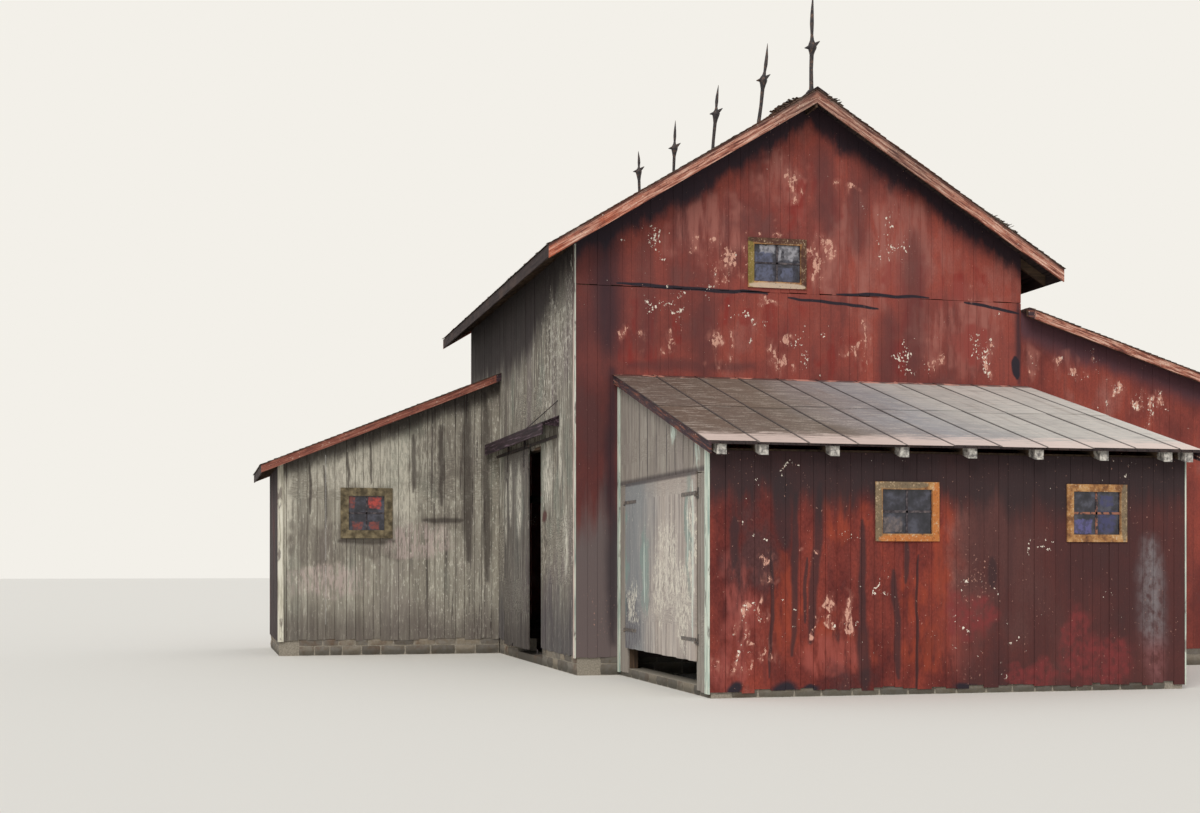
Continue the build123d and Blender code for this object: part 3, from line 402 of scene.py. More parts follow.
def stone_finish():
    finish = Finish("field stone", roughness=0.9)
    grain = finish.noise((14, 14, 14), detail=6)
    patches = finish.noise((2.2, 2.2, 2.2))
    stone = finish.ramp(finish.tone(), (0.0, paint(104, 98, 92)), (0.5, paint(132, 126, 118)), (1.0, paint(150, 140, 126)))
    stone = finish.blend(finish.band(patches, 0.5, 0.75), stone, paint(112, 92, 78))
    stone = finish.blend(finish.band(grain, 0.35, 0.75), stone, paint(168, 162, 150), "SOFT_LIGHT")
    low_damp = finish.opposite(finish.band(finish.z, 0.02, 0.2))
    stone = finish.blend(finish.product(low_damp, 0.6), stone, paint(70, 68, 60))
    return finish.done(stone, grain, 0.015)


def mortar_finish():
    finish = Finish("lime mortar", roughness=0.95)
    grain = finish.noise((40, 40, 40), detail=3)
    mortar = finish.ramp(grain, (0.3, paint(128, 120, 108)), (0.7, paint(166, 158, 144)))
    return finish.done(mortar, grain, 0.004)


def stone_tree():
    """Courses of rough stones that fill a box along one axis and stand a little proud of it."""
    tree, given = new_tree(
        "stone courses", Length=0.42, Courses=2, Proud=0.014, Joint=0.016, Roughness=0.02, Seed=3,
        Along=(1.0, 0.0, 0.0), Material=None,
    )
    box = tree.nodes.new("GeometryNodeBoundBox")
    tree.links.new(given["Solid"], box.inputs[0])
    low, high = box.outputs["Min"], box.outputs["Max"]
    size = vector(tree, "SUBTRACT", high, low)
    reach = vector(tree, "DOT_PRODUCT", size, given["Along"])
    in_course = number(tree, "ROUND", number(tree, "DIVIDE", reach, given["Length"]))
    count = number(tree, "MULTIPLY", in_course, given["Courses"])
    points = add_node(tree, "GeometryNodePoints", {"Count": count})
    index = add_node(tree, "GeometryNodeInputIndex")
    course = number(tree, "FLOOR", number(tree, "DIVIDE", number(tree, "ADD", index, 0.5), in_course))
    weight = random_number(tree, 0.6, 1.4, given["Seed"])
    accumulate = tree.nodes.new("GeometryNodeAccumulateField")
    tree.links.new(weight, accumulate.inputs["Value"])
    tree.links.new(course, accumulate.inputs["Group ID"])
    middle = number(tree, "ADD", accumulate.outputs["Trailing"], number(tree, "MULTIPLY", weight, 0.5))
    total = accumulate.outputs["Total"]
    along = number(tree, "MULTIPLY", number(tree, "DIVIDE", middle, total), reach)
    length = number(tree, "MULTIPLY", number(tree, "DIVIDE", weight, total), reach)
    height = number(tree, "DIVIDE", add_node(tree, "ShaderNodeSeparateXYZ", {0: size}, 2), given["Courses"])
    rise = number(tree, "MULTIPLY", number(tree, "ADD", course, 0.5), height)
    centre = scaled(tree, vector(tree, "ADD", low, high), 0.5)
    start = number(tree, "SUBTRACT", along, number(tree, "MULTIPLY", reach, 0.5))
    flat = vector(tree, "MULTIPLY", centre, (1.0, 1.0, 0.0))
    upward = add_node(tree, "ShaderNodeCombineXYZ", {"Z": rise})
    place = vector(tree, "ADD", vector(tree, "ADD", flat, scaled(tree, given["Along"], start)), upward)
    placed = add_node(tree, "GeometryNodeSetPosition", {"Geometry": points, "Position": place})
    shape = add_node(
        tree, "GeometryNodeMeshCube",
        {"Size": (1.0, 1.0, 1.0), "Vertices X": 4, "Vertices Y": 4, "Vertices Z": 3},
    )
    spot = add_node(tree, "GeometryNodeInputPosition")
    round_off = scaled(tree, vector(tree, "NORMALIZE", spot), 0.62)
    rounded = add_node(tree, "ShaderNodeMix", {0: 0.2, 4: spot, 5: round_off}, 1, data_type="VECTOR")
    stone = add_node(tree, "GeometryNodeSetPosition", {"Geometry": shape, "Position": rounded})
    across = vector(tree, "SUBTRACT", vector(tree, "SUBTRACT", (1.0, 1.0, 0.0), given["Along"]), (0.0, 0.0, 0.0))
    depth = vector(tree, "MULTIPLY", vector(tree, "ADD", size, scaled(tree, (2.0, 2.0, 0.0), given["Proud"])), across)
    run = scaled(tree, given["Along"], number(tree, "SUBTRACT", length, given["Joint"]))
    tall = add_node(tree, "ShaderNodeCombineXYZ", {"Z": number(tree, "SUBTRACT", height, given["Joint"])})
    scale = vector(tree, "ADD", vector(tree, "ADD", depth, run), tall)
    inputs = {"Points": placed, "Instance": stone, "Scale": scale}
    stones = add_node(tree, "GeometryNodeInstanceOnPoints", inputs)
    tone = random_number(tree, 0.0, 1.0, number(tree, "ADD", given["Seed"], 5.0))
    inputs = {"Geometry": stones, "Name": "board", "Value": tone}
    toned = add_node(tree, "GeometryNodeStoreNamedAttribute", inputs, domain="INSTANCE")
    real = add_node(tree, "GeometryNodeRealizeInstances", {"Geometry": toned})
    cloud = {"Vector": add_node(tree, "GeometryNodeInputPosition"), "Scale": 3.2, "Detail": 2.0}
    shove = vector(tree, "SUBTRACT", add_node(tree, "ShaderNodeTexNoise", cloud, "Color"), (0.5, 0.5, 0.5))
    shove = vector(tree, "MULTIPLY", shove, vector(tree, "ADD", scaled(tree, across, 1.0), (0.0, 0.0, 0.0)))
    shove = scaled(tree, shove, given["Roughness"])
    rough = add_node(tree, "GeometryNodeSetPosition", {"Geometry": real, "Offset": shove})
    end_tree(tree, rough, given["Material"])
    return tree


along_x = (1.0, 0.0, 0.0)
along_y = (0.0, 1.0, 0.0)
stone_length = 0.42
stone_course = 0.2
stone_material = stone_finish()
stones = stone_tree()
for node in ("footing_side_walls", "footing_end_walls"):
    runs = []
    for number_in_row, (low, high) in enumerate(blocks_of(node)):
        long_in_x = high.x - low.x > high.y - low.y
        runs.append(grow(
            f"{node}_{number_in_row}", stones, box_mesh(low, high), Length=stone_length,
            Courses=max(1, round((high.z - low.z) / stone_course)), Seed=number_in_row + 1,
            Along=along_x if long_in_x else along_y, Material=stone_material,
        ))
    fit(join_pieces(f"stones_of_{node}", runs), "barn", "stone")
mortar_material = mortar_finish()
dress(mortar_material, "footing_side_walls", "footing_end_walls")
dress(stone_material, "wagon_doorway_sill")


# Timber frame
# Posts, beams, braces, studs and rafters of rough-sawn timber, pegged together and browned with
# age. The shed's rafter tails show pale under the eave, partly worn white paint and partly painted light.
timber_dark = paint(58, 46, 40)
timber_light = paint(112, 90, 70)


def timber_finish(name, stretch, pale_tails=False):
    finish = Finish(name, roughness=0.9)
    grain = finish.noise(stretch, detail=5)
    stain = finish.noise((0.8, 0.8, 0.8), detail=3)
    wood = finish.ramp(grain, (0.3, timber_dark), (0.75, timber_light))
    wood = finish.blend(finish.product(finish.band(stain, 0.45, 0.7), 0.5), wood, paint(44, 38, 38))
    # Pale rafter tails beyond the wall: worn white paint, with painted light on the lit tails.
    if pale_tails:
        brushed = finish.sum(finish.y, finish.product(grain, 0.12))
        bare_tail = finish.opposite(finish.band(brushed, tail_start - 0.02, tail_start + 0.04))
        worn = finish.ramp(finish.noise((14, 14, 14), detail=5), (0.4, paint(112, 108, 106)), (0.6, paint(214, 208, 198)))
        wood = finish.blend(bare_tail, wood, worn)
    return finish.done(wood, grain, 0.004)


tail_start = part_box("shed_front_wall")[0].y - 0.02
upright_grain = (26, 26, 1.6)
grain_in_x = (1.6, 26, 26)
grain_in_y = (26, 1.6, 26)
dress(timber_finish("upright timber", upright_grain), "main_posts", "gable_studs", "lean_to_posts", "shed_posts")
dress(timber_finish("timber across", grain_in_x), "tie_beams", "knee_braces", "main_rafters", "lean_to_rafters")
dress(timber_finish("timber lengthways", grain_in_y), "main_girts", "wall_plates", "ridge_beam", "lean_to_beams", "shed_beams")
dress(timber_finish("shed rafters", grain_in_y, pale_tails=True), "shed_rafters")


# Red board walls
# Upright sawn boards nailed to the girts, once painted barn red. Sun and rain have left the paint
# bright in places and flaked to bare wood in others. Under the eaves and verges the walls are
# painted dark brown as shade, and on the shed rain drips run down from it.
smoky_red = paint(86, 54, 54)
deep_red = paint(104, 44, 40)
barn_red = paint(134, 60, 51)
bright_red = paint(152, 68, 54)
red_haze = paint(160, 100, 90)
faded_red = paint(178, 104, 94)
crimson = paint(134, 42, 37)
orange_red = paint(168, 72, 46)
maroon = paint(70, 44, 46)
brown_black_shade = paint(52, 41, 43)
violet_black_shade = paint(44, 37, 45)
worn_pink = paint(180, 116, 102)
pale_dab = paint(220, 168, 148)
white_speck = paint(236, 224, 208)


def board_tree():
    """Upright boards side by side along a wall's solid, each a little out of line, cut to its outline."""
    tree, given = new_tree(
        "upright boards", Width=0.2, Gap=0.006, Unevenness=0.004, Foot=0.02, Warp=0.006, Seed=1,
        Along=(1.0, 0.0, 0.0), Outward=(0.0, -1.0, 0.0), Material=None,
    )
    box = tree.nodes.new("GeometryNodeBoundBox")
    tree.links.new(given["Solid"], box.inputs[0])
    low, high = box.outputs["Min"], box.outputs["Max"]
    size = vector(tree, "SUBTRACT", high, low)
    centre = scaled(tree, vector(tree, "ADD", low, high), 0.5)
    reach = vector(tree, "DOT_PRODUCT", size, given["Along"])
    across = vector(tree, "ABSOLUTE", given["Outward"])
    thickness = vector(tree, "DOT_PRODUCT", size, across)
    count = number(tree, "ROUND", number(tree, "DIVIDE", reach, given["Width"]))
    points = add_node(tree, "GeometryNodePoints", {"Count": count})
    weight = random_number(tree, 0.7, 1.3, given["Seed"])
    accumulate = tree.nodes.new("GeometryNodeAccumulateField")
    tree.links.new(weight, accumulate.inputs["Value"])
    middle = number(tree, "ADD", accumulate.outputs["Trailing"], number(tree, "MULTIPLY", weight, 0.5))
    total = accumulate.outputs["Total"]
    middle = number(tree, "SUBTRACT", number(tree, "DIVIDE", middle, total), 0.5)
    along = scaled(tree, given["Along"], number(tree, "MULTIPLY", middle, reach))
    width = number(tree, "MULTIPLY", number(tree, "DIVIDE", weight, total), reach)
    width = number(tree, "SUBTRACT", width, given["Gap"])
    step = random_number(tree, -1.0, 1.0, number(tree, "ADD", given["Seed"], 1.0))
    out = scaled(tree, given["Outward"], number(tree, "MULTIPLY", step, given["Unevenness"]))
    foot = random_number(tree, 0.0, 1.0, number(tree, "ADD", given["Seed"], 2.0))
    spare = 0.2
    rise = number(tree, "ADD", number(tree, "MULTIPLY", foot, given["Foot"]), spare / 2)
    place = vector(tree, "ADD", vector(tree, "ADD", centre, along), out)
    place = vector(tree, "ADD", place, add_node(tree, "ShaderNodeCombineXYZ", {"Z": rise}))
    placed = add_node(tree, "GeometryNodeSetPosition", {"Geometry": points, "Position": place})
    tall = number(tree, "ADD", add_node(tree, "ShaderNodeSeparateXYZ", {0: size}, 2), spare)
    scale = vector(tree, "ADD", scaled(tree, given["Along"], width), scaled(tree, across, thickness))
    scale = vector(tree, "ADD", scale, add_node(tree, "ShaderNodeCombineXYZ", {"Z": tall}))
    plank = add_node(tree, "GeometryNodeMeshCube", {"Size": (1.0, 1.0, 1.0), "Vertices Z": 7})
    boards = add_node(tree, "GeometryNodeInstanceOnPoints", {"Points": placed, "Instance": plank, "Scale": scale})
    tone = random_number(tree, 0.0, 1.0, number(tree, "ADD", given["Seed"], 3.0))
    named = {"Geometry": boards, "Name": "board", "Value": tone}
    boards = add_node(tree, "GeometryNodeStoreNamedAttribute", named, domain="INSTANCE")
    boards = add_node(tree, "GeometryNodeRealizeInstances", {"Geometry": boards})
    own = add_node(tree, "GeometryNodeInputNamedAttribute", {"Name": "board"})
    spot = add_node(tree, "GeometryNodeInputPosition")
    spot = vector(tree, "ADD", vector(tree, "MULTIPLY", spot, (0.4, 0.4, 0.6)), scaled(tree, (9.0, 9.0, 9.0), own))
    bend = add_node(tree, "ShaderNodeTexNoise", {"Vector": spot, "Scale": 1.0, "Detail": 1.0})
    bend = number(tree, "MULTIPLY", number(tree, "SUBTRACT", bend, 0.5), given["Warp"])
    warped = {"Geometry": boards, "Offset": scaled(tree, given["Outward"], bend)}
    boards = add_node(tree, "GeometryNodeSetPosition", warped)
    widening = 1.5
    shift = scaled(tree, vector(tree, "MULTIPLY", centre, across), -widening)
    stretch = vector(tree, "ADD", (1.0, 1.0, 1.0), scaled(tree, across, widening))
    outline = {"Geometry": given["Solid"], "Translation": shift, "Scale": stretch}
    outline = add_node(tree, "GeometryNodeTransform", outline)
    saw = tree.nodes.new("GeometryNodeMeshBoolean")
    saw.operation = "INTERSECT"
    saw.solver = "EXACT"
    tree.links.new(boards, saw.inputs["Mesh 2"])
    tree.links.new(outline, saw.inputs["Mesh 2"])
    end_tree(tree, saw.outputs["Mesh"], given["Material"])
    return tree


def flaked(finish, body, dab_places=(), speck_places=(), sideways=False):
    """Pinkish worn patches, pale dabs and small white specks, thick near the places given or in clouds."""
    clouds = finish.band(finish.noise((0.7, 0.7, 0.6)), 0.55, 0.72)
    patchy = finish.band(finish.noise((5, 5, 2.4), detail=4), 0.4, 0.6)
    brushed = finish.band(finish.noise((13, 13, 4), detail=5, roughness=0.65), 0.42, 0.6)
    thick = finish.spots(dab_places, sideways, ragged=1.3) if dab_places else clouds
    thick = finish.product(thick, patchy)
    body = finish.blend(finish.product(thick, brushed, 0.6), body, worn_pink)
    dabs = finish.noise((19, 19, 12), detail=5, roughness=0.7)
    dab = finish.band(finish.sum(dabs, finish.product(thick, 0.4)), 0.85, 0.89)
    body = finish.blend(finish.product(dab, 0.85), body, pale_dab)
    few = finish.spots(speck_places, sideways, ragged=2.0) if speck_places else clouds
    specks = finish.noise((24, 24, 20), detail=3)
    speck = finish.band(finish.sum(specks, finish.product(few, finish.sum(patchy, 0.3), 0.15)), 0.75, 0.78)
    scattered = finish.product(finish.most(thick, clouds), 0.08)
    dust = finish.band(finish.sum(finish.noise((31, 31, 22), detail=3), scattered), 0.7, 0.74)
    body = finish.blend(finish.product(dust, 0.6), body, pale_dab)
    return finish.blend(speck, body, white_speck), finish.most(dab, speck)


def red_finish(name, stains, dab_places=(), speck_places=()):
    """Worn red paint: stains is a function that lays a wall's own patches over it."""
    finish = Finish(name, roughness=0.82)
    tone = finish.tone()
    wash = finish.noise((0.55, 0.55, 0.35), detail=6, roughness=0.62)
    body = finish.ramp(
        wash, (0.37, smoky_red), (0.44, deep_red), (0.51, barn_red), (0.57, bright_red), (0.66, red_haze)
    )
    rain = finish.band(finish.noise((5, 5, 0.4), detail=6), 0.48, 0.68)
    body = finish.blend(finish.product(rain, 0.35), body, maroon)
    streaks = finish.band(finish.noise((8, 8, 0.5), detail=5, shift=tone), 0.5, 0.72)
    body = finish.blend(finish.product(streaks, 0.3), body, maroon)
    fine = finish.noise((38, 38, 24), detail=3)
    grainy = finish.ramp(fine, (0.36, paint(204, 198, 198)), (0.6, paint(255, 255, 255)))
    body = finish.blend(0.6, body, grainy, "MULTIPLY")
    own = finish.ramp(tone, (0.0, paint(236, 232, 232)), (1.0, paint(255, 253, 251)))
    body = finish.blend(0.85, body, own, "MULTIPLY")
    body, bare = flaked(finish, stains(finish, body), dab_places, speck_places)
    grain = finish.noise((60, 60, 3), detail=3)
    return finish.done(body, finish.sum(grain, finish.product(bare, -0.6)), 0.004)


def solids_of(*names):
    """Separate closed solids of the named nodes, each as a mesh of its own."""
    meshes = []
    for name in names:
        whole = solid_mesh(name)
        for low, high in blocks_of(name):
            shape = bmesh.new()
            shape.from_mesh(whole)
            spare = Vector((0.001, 0.001, 0.001))
            least, most = low - spare, high + spare
            outside = [corner for corner in shape.verts if not all(
                least[axis] <= corner.co[axis] <= most[axis] for axis in range(3))]
            bmesh.ops.delete(shape, geom=outside, context="VERTS")
            mesh = bpy.data.meshes.new(name)
            shape.to_mesh(mesh)
            shape.free()
            meshes.append(mesh)
    return meshes


def boards(name, body, slot, material, outward, replaced, sources=None, **sizes):
    """Piece of upright boards that stands for one or more nodes."""
    sideways = along_x if outward[1] else along_y
    first_seed = sizes.pop("Seed")
    runs = [
        grow(f"{name}_{step}", planks, source, Along=sideways, Outward=outward, Material=material,
             Seed=first_seed + 10 * step, **sizes)
        for step, source in enumerate(sources or solids_of(*replaced))
    ]
    return fit(join_pieces(name, runs), body, slot, *replaced)


def below_slope(finish, top, pitch, start=0.0):
    """Height below a roof that falls from this height, away from a place across the barn."""
    run = number(finish.tree, "ABSOLUTE", finish.sum(finish.x, -start))
    return number(finish.tree, "SUBTRACT", top, finish.sum(finish.z, finish.product(run, pitch)))


def front_stains(finish, body):
    """Painted shade under the verge and in the corner beside the shed, darker maroon towards the left corner, long rain
    streaks, a grey foot and painted shadows along the seams.
    """
    body = finish.blend(0.22, body, faded_red)
    corner = finish.band(finish.sum(finish.x, finish.noise((1.2, 1.2, 0.5))), left_corner + 1.8, left_corner + 0.8)
    body = finish.blend(finish.product(corner, 0.6), body, maroon)
    brushed = finish.band(finish.noise((5, 5, 0.9), detail=6), 0.4, 0.62)
    body = finish.blend(finish.product(finish.spots(front_haze, ragged=1.4), brushed, 0.85), body, red_haze)
    body = finish.blend(finish.product(finish.spots(front_crimson, ragged=1.4), brushed, 0.65), body, crimson)
    body = finish.blend(finish.product(finish.strokes(front_streaks, softness=0.8), 0.6), body, smoky_red)
    foot = finish.band(finish.sum(finish.z, finish.product(finish.noise((4, 4, 0.5), detail=5), 3.0)), 5.2, 3.6)
    body = finish.blend(finish.product(foot, 0.94), body, paint(108, 97, 96))
    # Painted shade under the verge: near black along the roof line, ragged and fading down within about a metre.
    ragged = finish.sum(
        below_slope(finish, ridge_top, main_pitch),
        finish.product(finish.noise((2.6, 2.6, 1.0), detail=6, roughness=0.65), 0.9),
        finish.product(finish.band(finish.x, 0.6, -1.0), -0.14),
    )
    body = finish.blend(finish.product(finish.band(ragged, 1.1, 0.75), 0.95), body, violet_black_shade)
    # Painted shadows down the corner beside the shed and at the right corner.
    shadow_strokes = finish.strokes(front_shadows, softness=0.9)
    body = finish.blend(finish.product(shadow_strokes, 0.75), body, violet_black_shade)
    # Painted shadows along the lapped seams.
    return finish.blend(finish.strokes(seam_shadows), body, violet_black_shade)


def shed_stains(finish, body):
    """Nearly black painted shade under the eave with drips running down from it, dark brown to the right, orange-red
    with streaks to the left, and painted grass shadows at the foot.
    """
    cloud = finish.noise((0.7, 0.7, 0.5), detail=4)
    brushed = finish.band(finish.noise((6, 6, 1.4), detail=6, roughness=0.65), 0.36, 0.6)
    body = finish.blend(finish.product(finish.spots(shed_glow, ragged=0.9), brushed, 0.5), body, orange_red)
    body = finish.blend(finish.product(finish.spots(shed_haze), brushed, 0.7), body, paint(158, 82, 74))
    right = finish.band(finish.sum(finish.x, finish.product(cloud, 3.0)), 1.5, 2.8)
    body = finish.blend(finish.product(right, 0.84), body, paint(70, 45, 45))
    mottled = finish.band(finish.noise((10, 10, 7), detail=6, roughness=0.65), 0.3, 0.66)
    soft = finish.sum(finish.product(mottled, 0.75), finish.product(cloud, 0.2))
    reds = finish.product(finish.spots(shed_right_reds, ragged=0.8), soft)
    body = finish.blend(reds, body, paint(128, 54, 54))
    body = finish.blend(finish.product(finish.strokes(shed_streaks, softness=0.45), 0.8), body, paint(60, 42, 44))
    smear = finish.blend(finish.band(finish.z, 1.0, 0.5), paint(138, 132, 134), paint(142, 92, 92))
    thin = finish.sum(finish.product(mottled, 0.6), 0.1)
    body = finish.blend(finish.product(finish.strokes(shed_smears, softness=0.9), thin), body, smear)
    # Painted shade under the eave: nearly black down to about half a metre, its lower edge running down in drips.
    drips = finish.product(finish.noise((2.6, 2.6, 0.25), detail=4), 1.5)
    drop = finish.sum(finish.product(finish.z, -1.0), shed_eave)
    eave = finish.band(finish.sum(drop, finish.product(drips, -1.0)), 0.3, -0.25)
    body = finish.blend(finish.product(eave, 0.92), body, brown_black_shade)
    # Painted shadows of grass at the foot of the wall.
    return finish.blend(finish.spots(grass_shadows, ragged=0.2), body, violet_black_shade)


def lean_stains(finish, body):
    """Painted shade under the right lean-to's roof, a faded wash, and a red haze beside the barn's corner."""
    # Painted shade under the right lean-to's roof: dark violet-brown along the roof line, ragged and fading down within
    # about a metre.
    ragged = finish.sum(
        below_slope(finish, right_lean_top, right_pitch, right_corner),
        finish.product(finish.noise((1.4, 1.4, 0.8), detail=5), 0.5),
    )
    body = finish.blend(finish.product(finish.band(ragged, 0.95, 0.55), 0.92), body, paint(58, 46, 58))
    body = finish.blend(0.12, body, faded_red)
    brushed = finish.band(finish.noise((5, 5, 0.9), detail=6), 0.4, 0.62)
    return finish.blend(finish.product(finish.spots(lean_haze), brushed, 0.6), body, red_haze)


def back_stains(finish, body):
    """Blotches, and damp along the foot of the wall."""
    blotches = finish.product(finish.band(finish.noise((0.7, 0.7, 0.35)), 0.5, 0.7), 0.6)
    damp = finish.band(finish.sum(finish.z, finish.noise((1.5, 1.5, 0.6))), 1.4, 0.8)
    return finish.blend(finish.most(blotches, finish.product(damp, 0.8)), body, maroon)


to_front = (0.0, -1.0, 0.0)
to_rear = (0.0, 1.0, 0.0)
to_left = (-1.0, 0.0, 0.0)
to_right = (1.0, 0.0, 0.0)
main_pitch = 0.611
left_pitch = 0.4045
right_pitch = 0.309
shed_pitch = 0.2885
far_away = 1000.0
ridge_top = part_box("main_shingles")[1].z
right_lean_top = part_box("right_lean_to_roof")[1].z
left_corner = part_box("front_wall")[0].x
right_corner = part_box("front_wall")[1].x
shed_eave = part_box("shed_front_wall")[1].z
front_dabs = (
    (-0.21, 8.75, 0.26, 0.34), (0.8, 8.75, 0.26, 0.16), (0.42, 7.5, 0.22, 0.35), (0.15, 7.45, 0.18, 0.5),
    (-0.75, 7.86, 0.38, 0.12), (-1.45, 7.3, 0.32, 0.42), (-1.95, 7.6, 0.25, 0.25), (-1.65, 5.75, 0.26, 0.38),
    (-0.55, 5.7, 0.26, 0.34), (-2.4, 5.85, 0.25, 0.22), (-0.7, 6.62, 0.35, 0.09), (1.05, 5.95, 0.14, 0.5),
    (2.5, 5.65, 0.16, 0.28), (3.6, 5.8, 0.16, 0.4), (3.3, 6.85, 0.12, 0.2), (-3.3, 6.1, 0.2, 0.25),
)
front_specks = (
    (-2.5, 6.45, 0.3, 0.28), (-0.08, 5.75, 0.3, 0.28), (2.0, 5.6, 0.36, 0.34), (-1.85, 7.0, 0.2, 0.15),
    (-2.9, 7.6, 0.3, 0.25), (1.6, 7.9, 0.3, 0.5), (-1.2, 6.25, 0.25, 0.15), (3.5, 5.9, 0.3, 0.5),
)
front_haze = (
    (1.5, 7.6, 1.2, 1.0), (-1.9, 7.9, 0.7, 0.6), (0.3, 7.6, 0.35, 0.8), (3.0, 6.3, 0.9, 0.8), (-0.5, 8.8, 0.5, 0.4),
)
front_crimson = (
    (1.95, 6.95, 0.45, 0.7), (2.9, 7.05, 0.6, 0.4), (0.6, 5.5, 0.3, 0.6), (3.2, 6.0, 0.4, 0.4), (-1.0, 6.3, 0.9, 0.3),
    (-2.9, 5.9, 0.5, 0.6), (0.1, 8.4, 0.5, 0.5), (1.8, 5.6, 0.4, 0.4),
)
front_streaks = (
    (0.35, 9.3, 0.45, 7.9, 0.22), (0.95, 8.7, 1.0, 7.6, 0.2), (2.1, 7.9, 2.1, 5.4, 0.26), (1.6, 6.5, 1.6, 5.2, 0.2),
    (-3.0, 7.6, -3.0, 5.6, 0.2), (-1.9, 6.6, -1.9, 5.3, 0.2), (-3.3, 5.4, -1.0, 5.46, 0.1), (1.2, 5.2, 4.0, 5.12, 0.07),
)
front_shadows = ((-3.72, 7.6, -3.66, 5.7, 0.26), (-3.6, 5.3, -3.6, 0.6, 0.12), (4.2, 6.8, 4.2, 5.3, 0.05))
# Painted shadows under the lapped seams of the front: each is its start, its end and half its width.
seam_shadows = (
    (-3.5, 6.83, -0.75, 6.76, 0.035), (-0.33, 6.7, 1.4, 6.57, 0.03), (0.6, 6.82, 2.4, 6.8, 0.03),
    (3.1, 6.76, 4.2, 6.62, 0.03), (4.14, 5.75, 4.16, 5.4, 0.08),
)
shed_glow = (
    (-1.5, 2.6, 0.32, 0.5), (-0.3, 1.55, 0.2, 0.45), (-1.5, 0.7, 0.6, 0.35), (0.0, 0.65, 0.6, 0.4),
    (-2.3, 1.4, 0.3, 0.7), (0.78, 0.95, 0.1, 0.28), (0.2, 2.0, 0.2, 1.0),
)
shed_haze = ((-3.05, 1.3, 0.25, 0.7), (-1.6, 0.6, 0.5, 0.3), (-3.2, 0.4, 0.3, 0.3), (0.55, 0.8, 0.3, 0.5))
shed_right_reds = ((2.7, 0.45, 0.6, 0.45), (0.6, 1.2, 0.4, 0.35), (2.4, 0.9, 0.25, 0.4), (1.6, 0.25, 0.5, 0.2))
shed_streaks = (
    (-2.55, 2.1, -2.56, 0.3, 0.028), (-2.17, 2.95, -2.2, 0.6, 0.055), (-1.79, 3.1, -1.93, 0.8, 0.07),
    (-1.13, 2.6, -1.12, 0.7, 0.055), (-1.12, 1.1, -1.09, 0.1, 0.1), (-0.64, 1.85, -0.54, 0.25, 0.055),
    (-0.43, 2.3, -0.43, 1.65, 0.045), (-0.24, 2.1, -0.27, -0.1, 0.022), (-2.4, 3.2, -2.34, 2.2, 0.15),
    (-2.0, 2.0, -2.02, 1.1, 0.03), (0.95, 2.0, 0.97, 1.6, 0.08), (-3.1, 2.6, -3.12, 1.9, 0.07),
)
shed_smears = ((3.62, 2.25, 3.74, 0.15, 0.18),)
# Painted shadows of grass along the foot of the shed's front.
grass_shadows = ((-3.1, 0.14, 0.12, 0.12), (-2.35, 0.1, 0.22, 0.12), (-1.95, 0.1, 0.12, 0.08), (0.55, 0.1, 0.2, 0.08))
shed_dabs = (
    (-3.02, 1.05, 0.22, 0.26), (-2.7, 1.85, 0.1, 0.24), (-1.8, 2.1, 0.12, 0.1), (-2.72, 1.2, 0.08, 0.3),
    (-1.75, 1.05, 0.1, 0.12), (-3.1, 0.6, 0.2, 0.15), (-2.6, 0.7, 0.16, 0.2), (-1.5, 1.2, 0.15, 0.3),
)
shed_specks = (
    (-2.95, 2.45, 0.16, 0.12), (-1.35, 2.25, 0.16, 0.12), (-1.3, 1.58, 0.1, 0.1), (-0.77, 1.45, 0.12, 0.2),
    (-1.9, 1.1, 0.14, 0.2), (-1.25, 0.9, 0.1, 0.14), (1.75, 2.05, 0.08, 0.1), (0.85, 1.72, 0.15, 0.08), (1.9, 2.35, 0.06, 0.1),
    (1.35, 1.06, 0.14, 0.1), (1.0, 0.4, 0.14, 0.2), (-2.65, 3.25, 0.25, 0.1),
    (3.2, 3.3, 0.2, 0.12), (-3.0, 1.0, 0.22, 0.3), (-2.2, 1.3, 0.2, 0.14), (0.6, 0.9, 0.1, 0.1), (2.9, 1.4, 0.1, 0.14),
)
lean_dabs = ((4.5, 5.7, 0.22, 0.3), (5.5, 5.6, 0.5, 0.12), (7.0, 4.9, 0.4, 0.35), (6.2, 5.2, 0.3, 0.2))
lean_haze = ((4.5, 5.75, 0.16, 0.35), (5.2, 5.7, 0.2, 0.3))
planks = board_tree()
front_red = red_finish("red paint on the front", front_stains, front_dabs, front_specks)
shed_red = red_finish("red paint on the shed", shed_stains, shed_dabs, shed_specks)
lean_red = red_finish("red paint on the right lean-to", lean_stains, lean_dabs, lean_dabs)
back_red = red_finish("red paint at the sides and back", back_stains)
fine_boards = {"Gap": 0.0035, "Unevenness": 0.003, "Warp": 0.005}
boards("front_wall_boards", "barn", "red_boards", front_red, to_front, ["front_wall"], Seed=11, **fine_boards)
boards("front_gable_boards", "barn", "red_boards", front_red, to_front, ["front_gable"], Seed=12, **fine_boards)
boards("right_lean_to_boards", "barn", "red_boards", lean_red, to_front, ["right_lean_to_front"], Seed=13, **fine_boards)
boards("shed_front_boards", "barn", "red_boards", shed_red, to_front, ["shed_front_wall"], Seed=14, Foot=0.07, Gap=0.005)
boards("rear_wall_boards", "barn", "red_boards", back_red, to_rear, ["rear_wall"], Seed=15)
boards("rear_gable_boards", "barn", "red_boards", back_red, to_rear, ["rear_gable"], Seed=16)
boards("lean_to_rear_boards", "barn", "red_boards", back_red, to_rear, ["lean_to_rear_walls"], Seed=17)
boards("right_wall_boards", "barn", "red_boards", back_red, to_right, ["right_wall", "right_wall_over_doorway"], Seed=18)
left_side, right_side = solids_of("lean_to_side_walls")
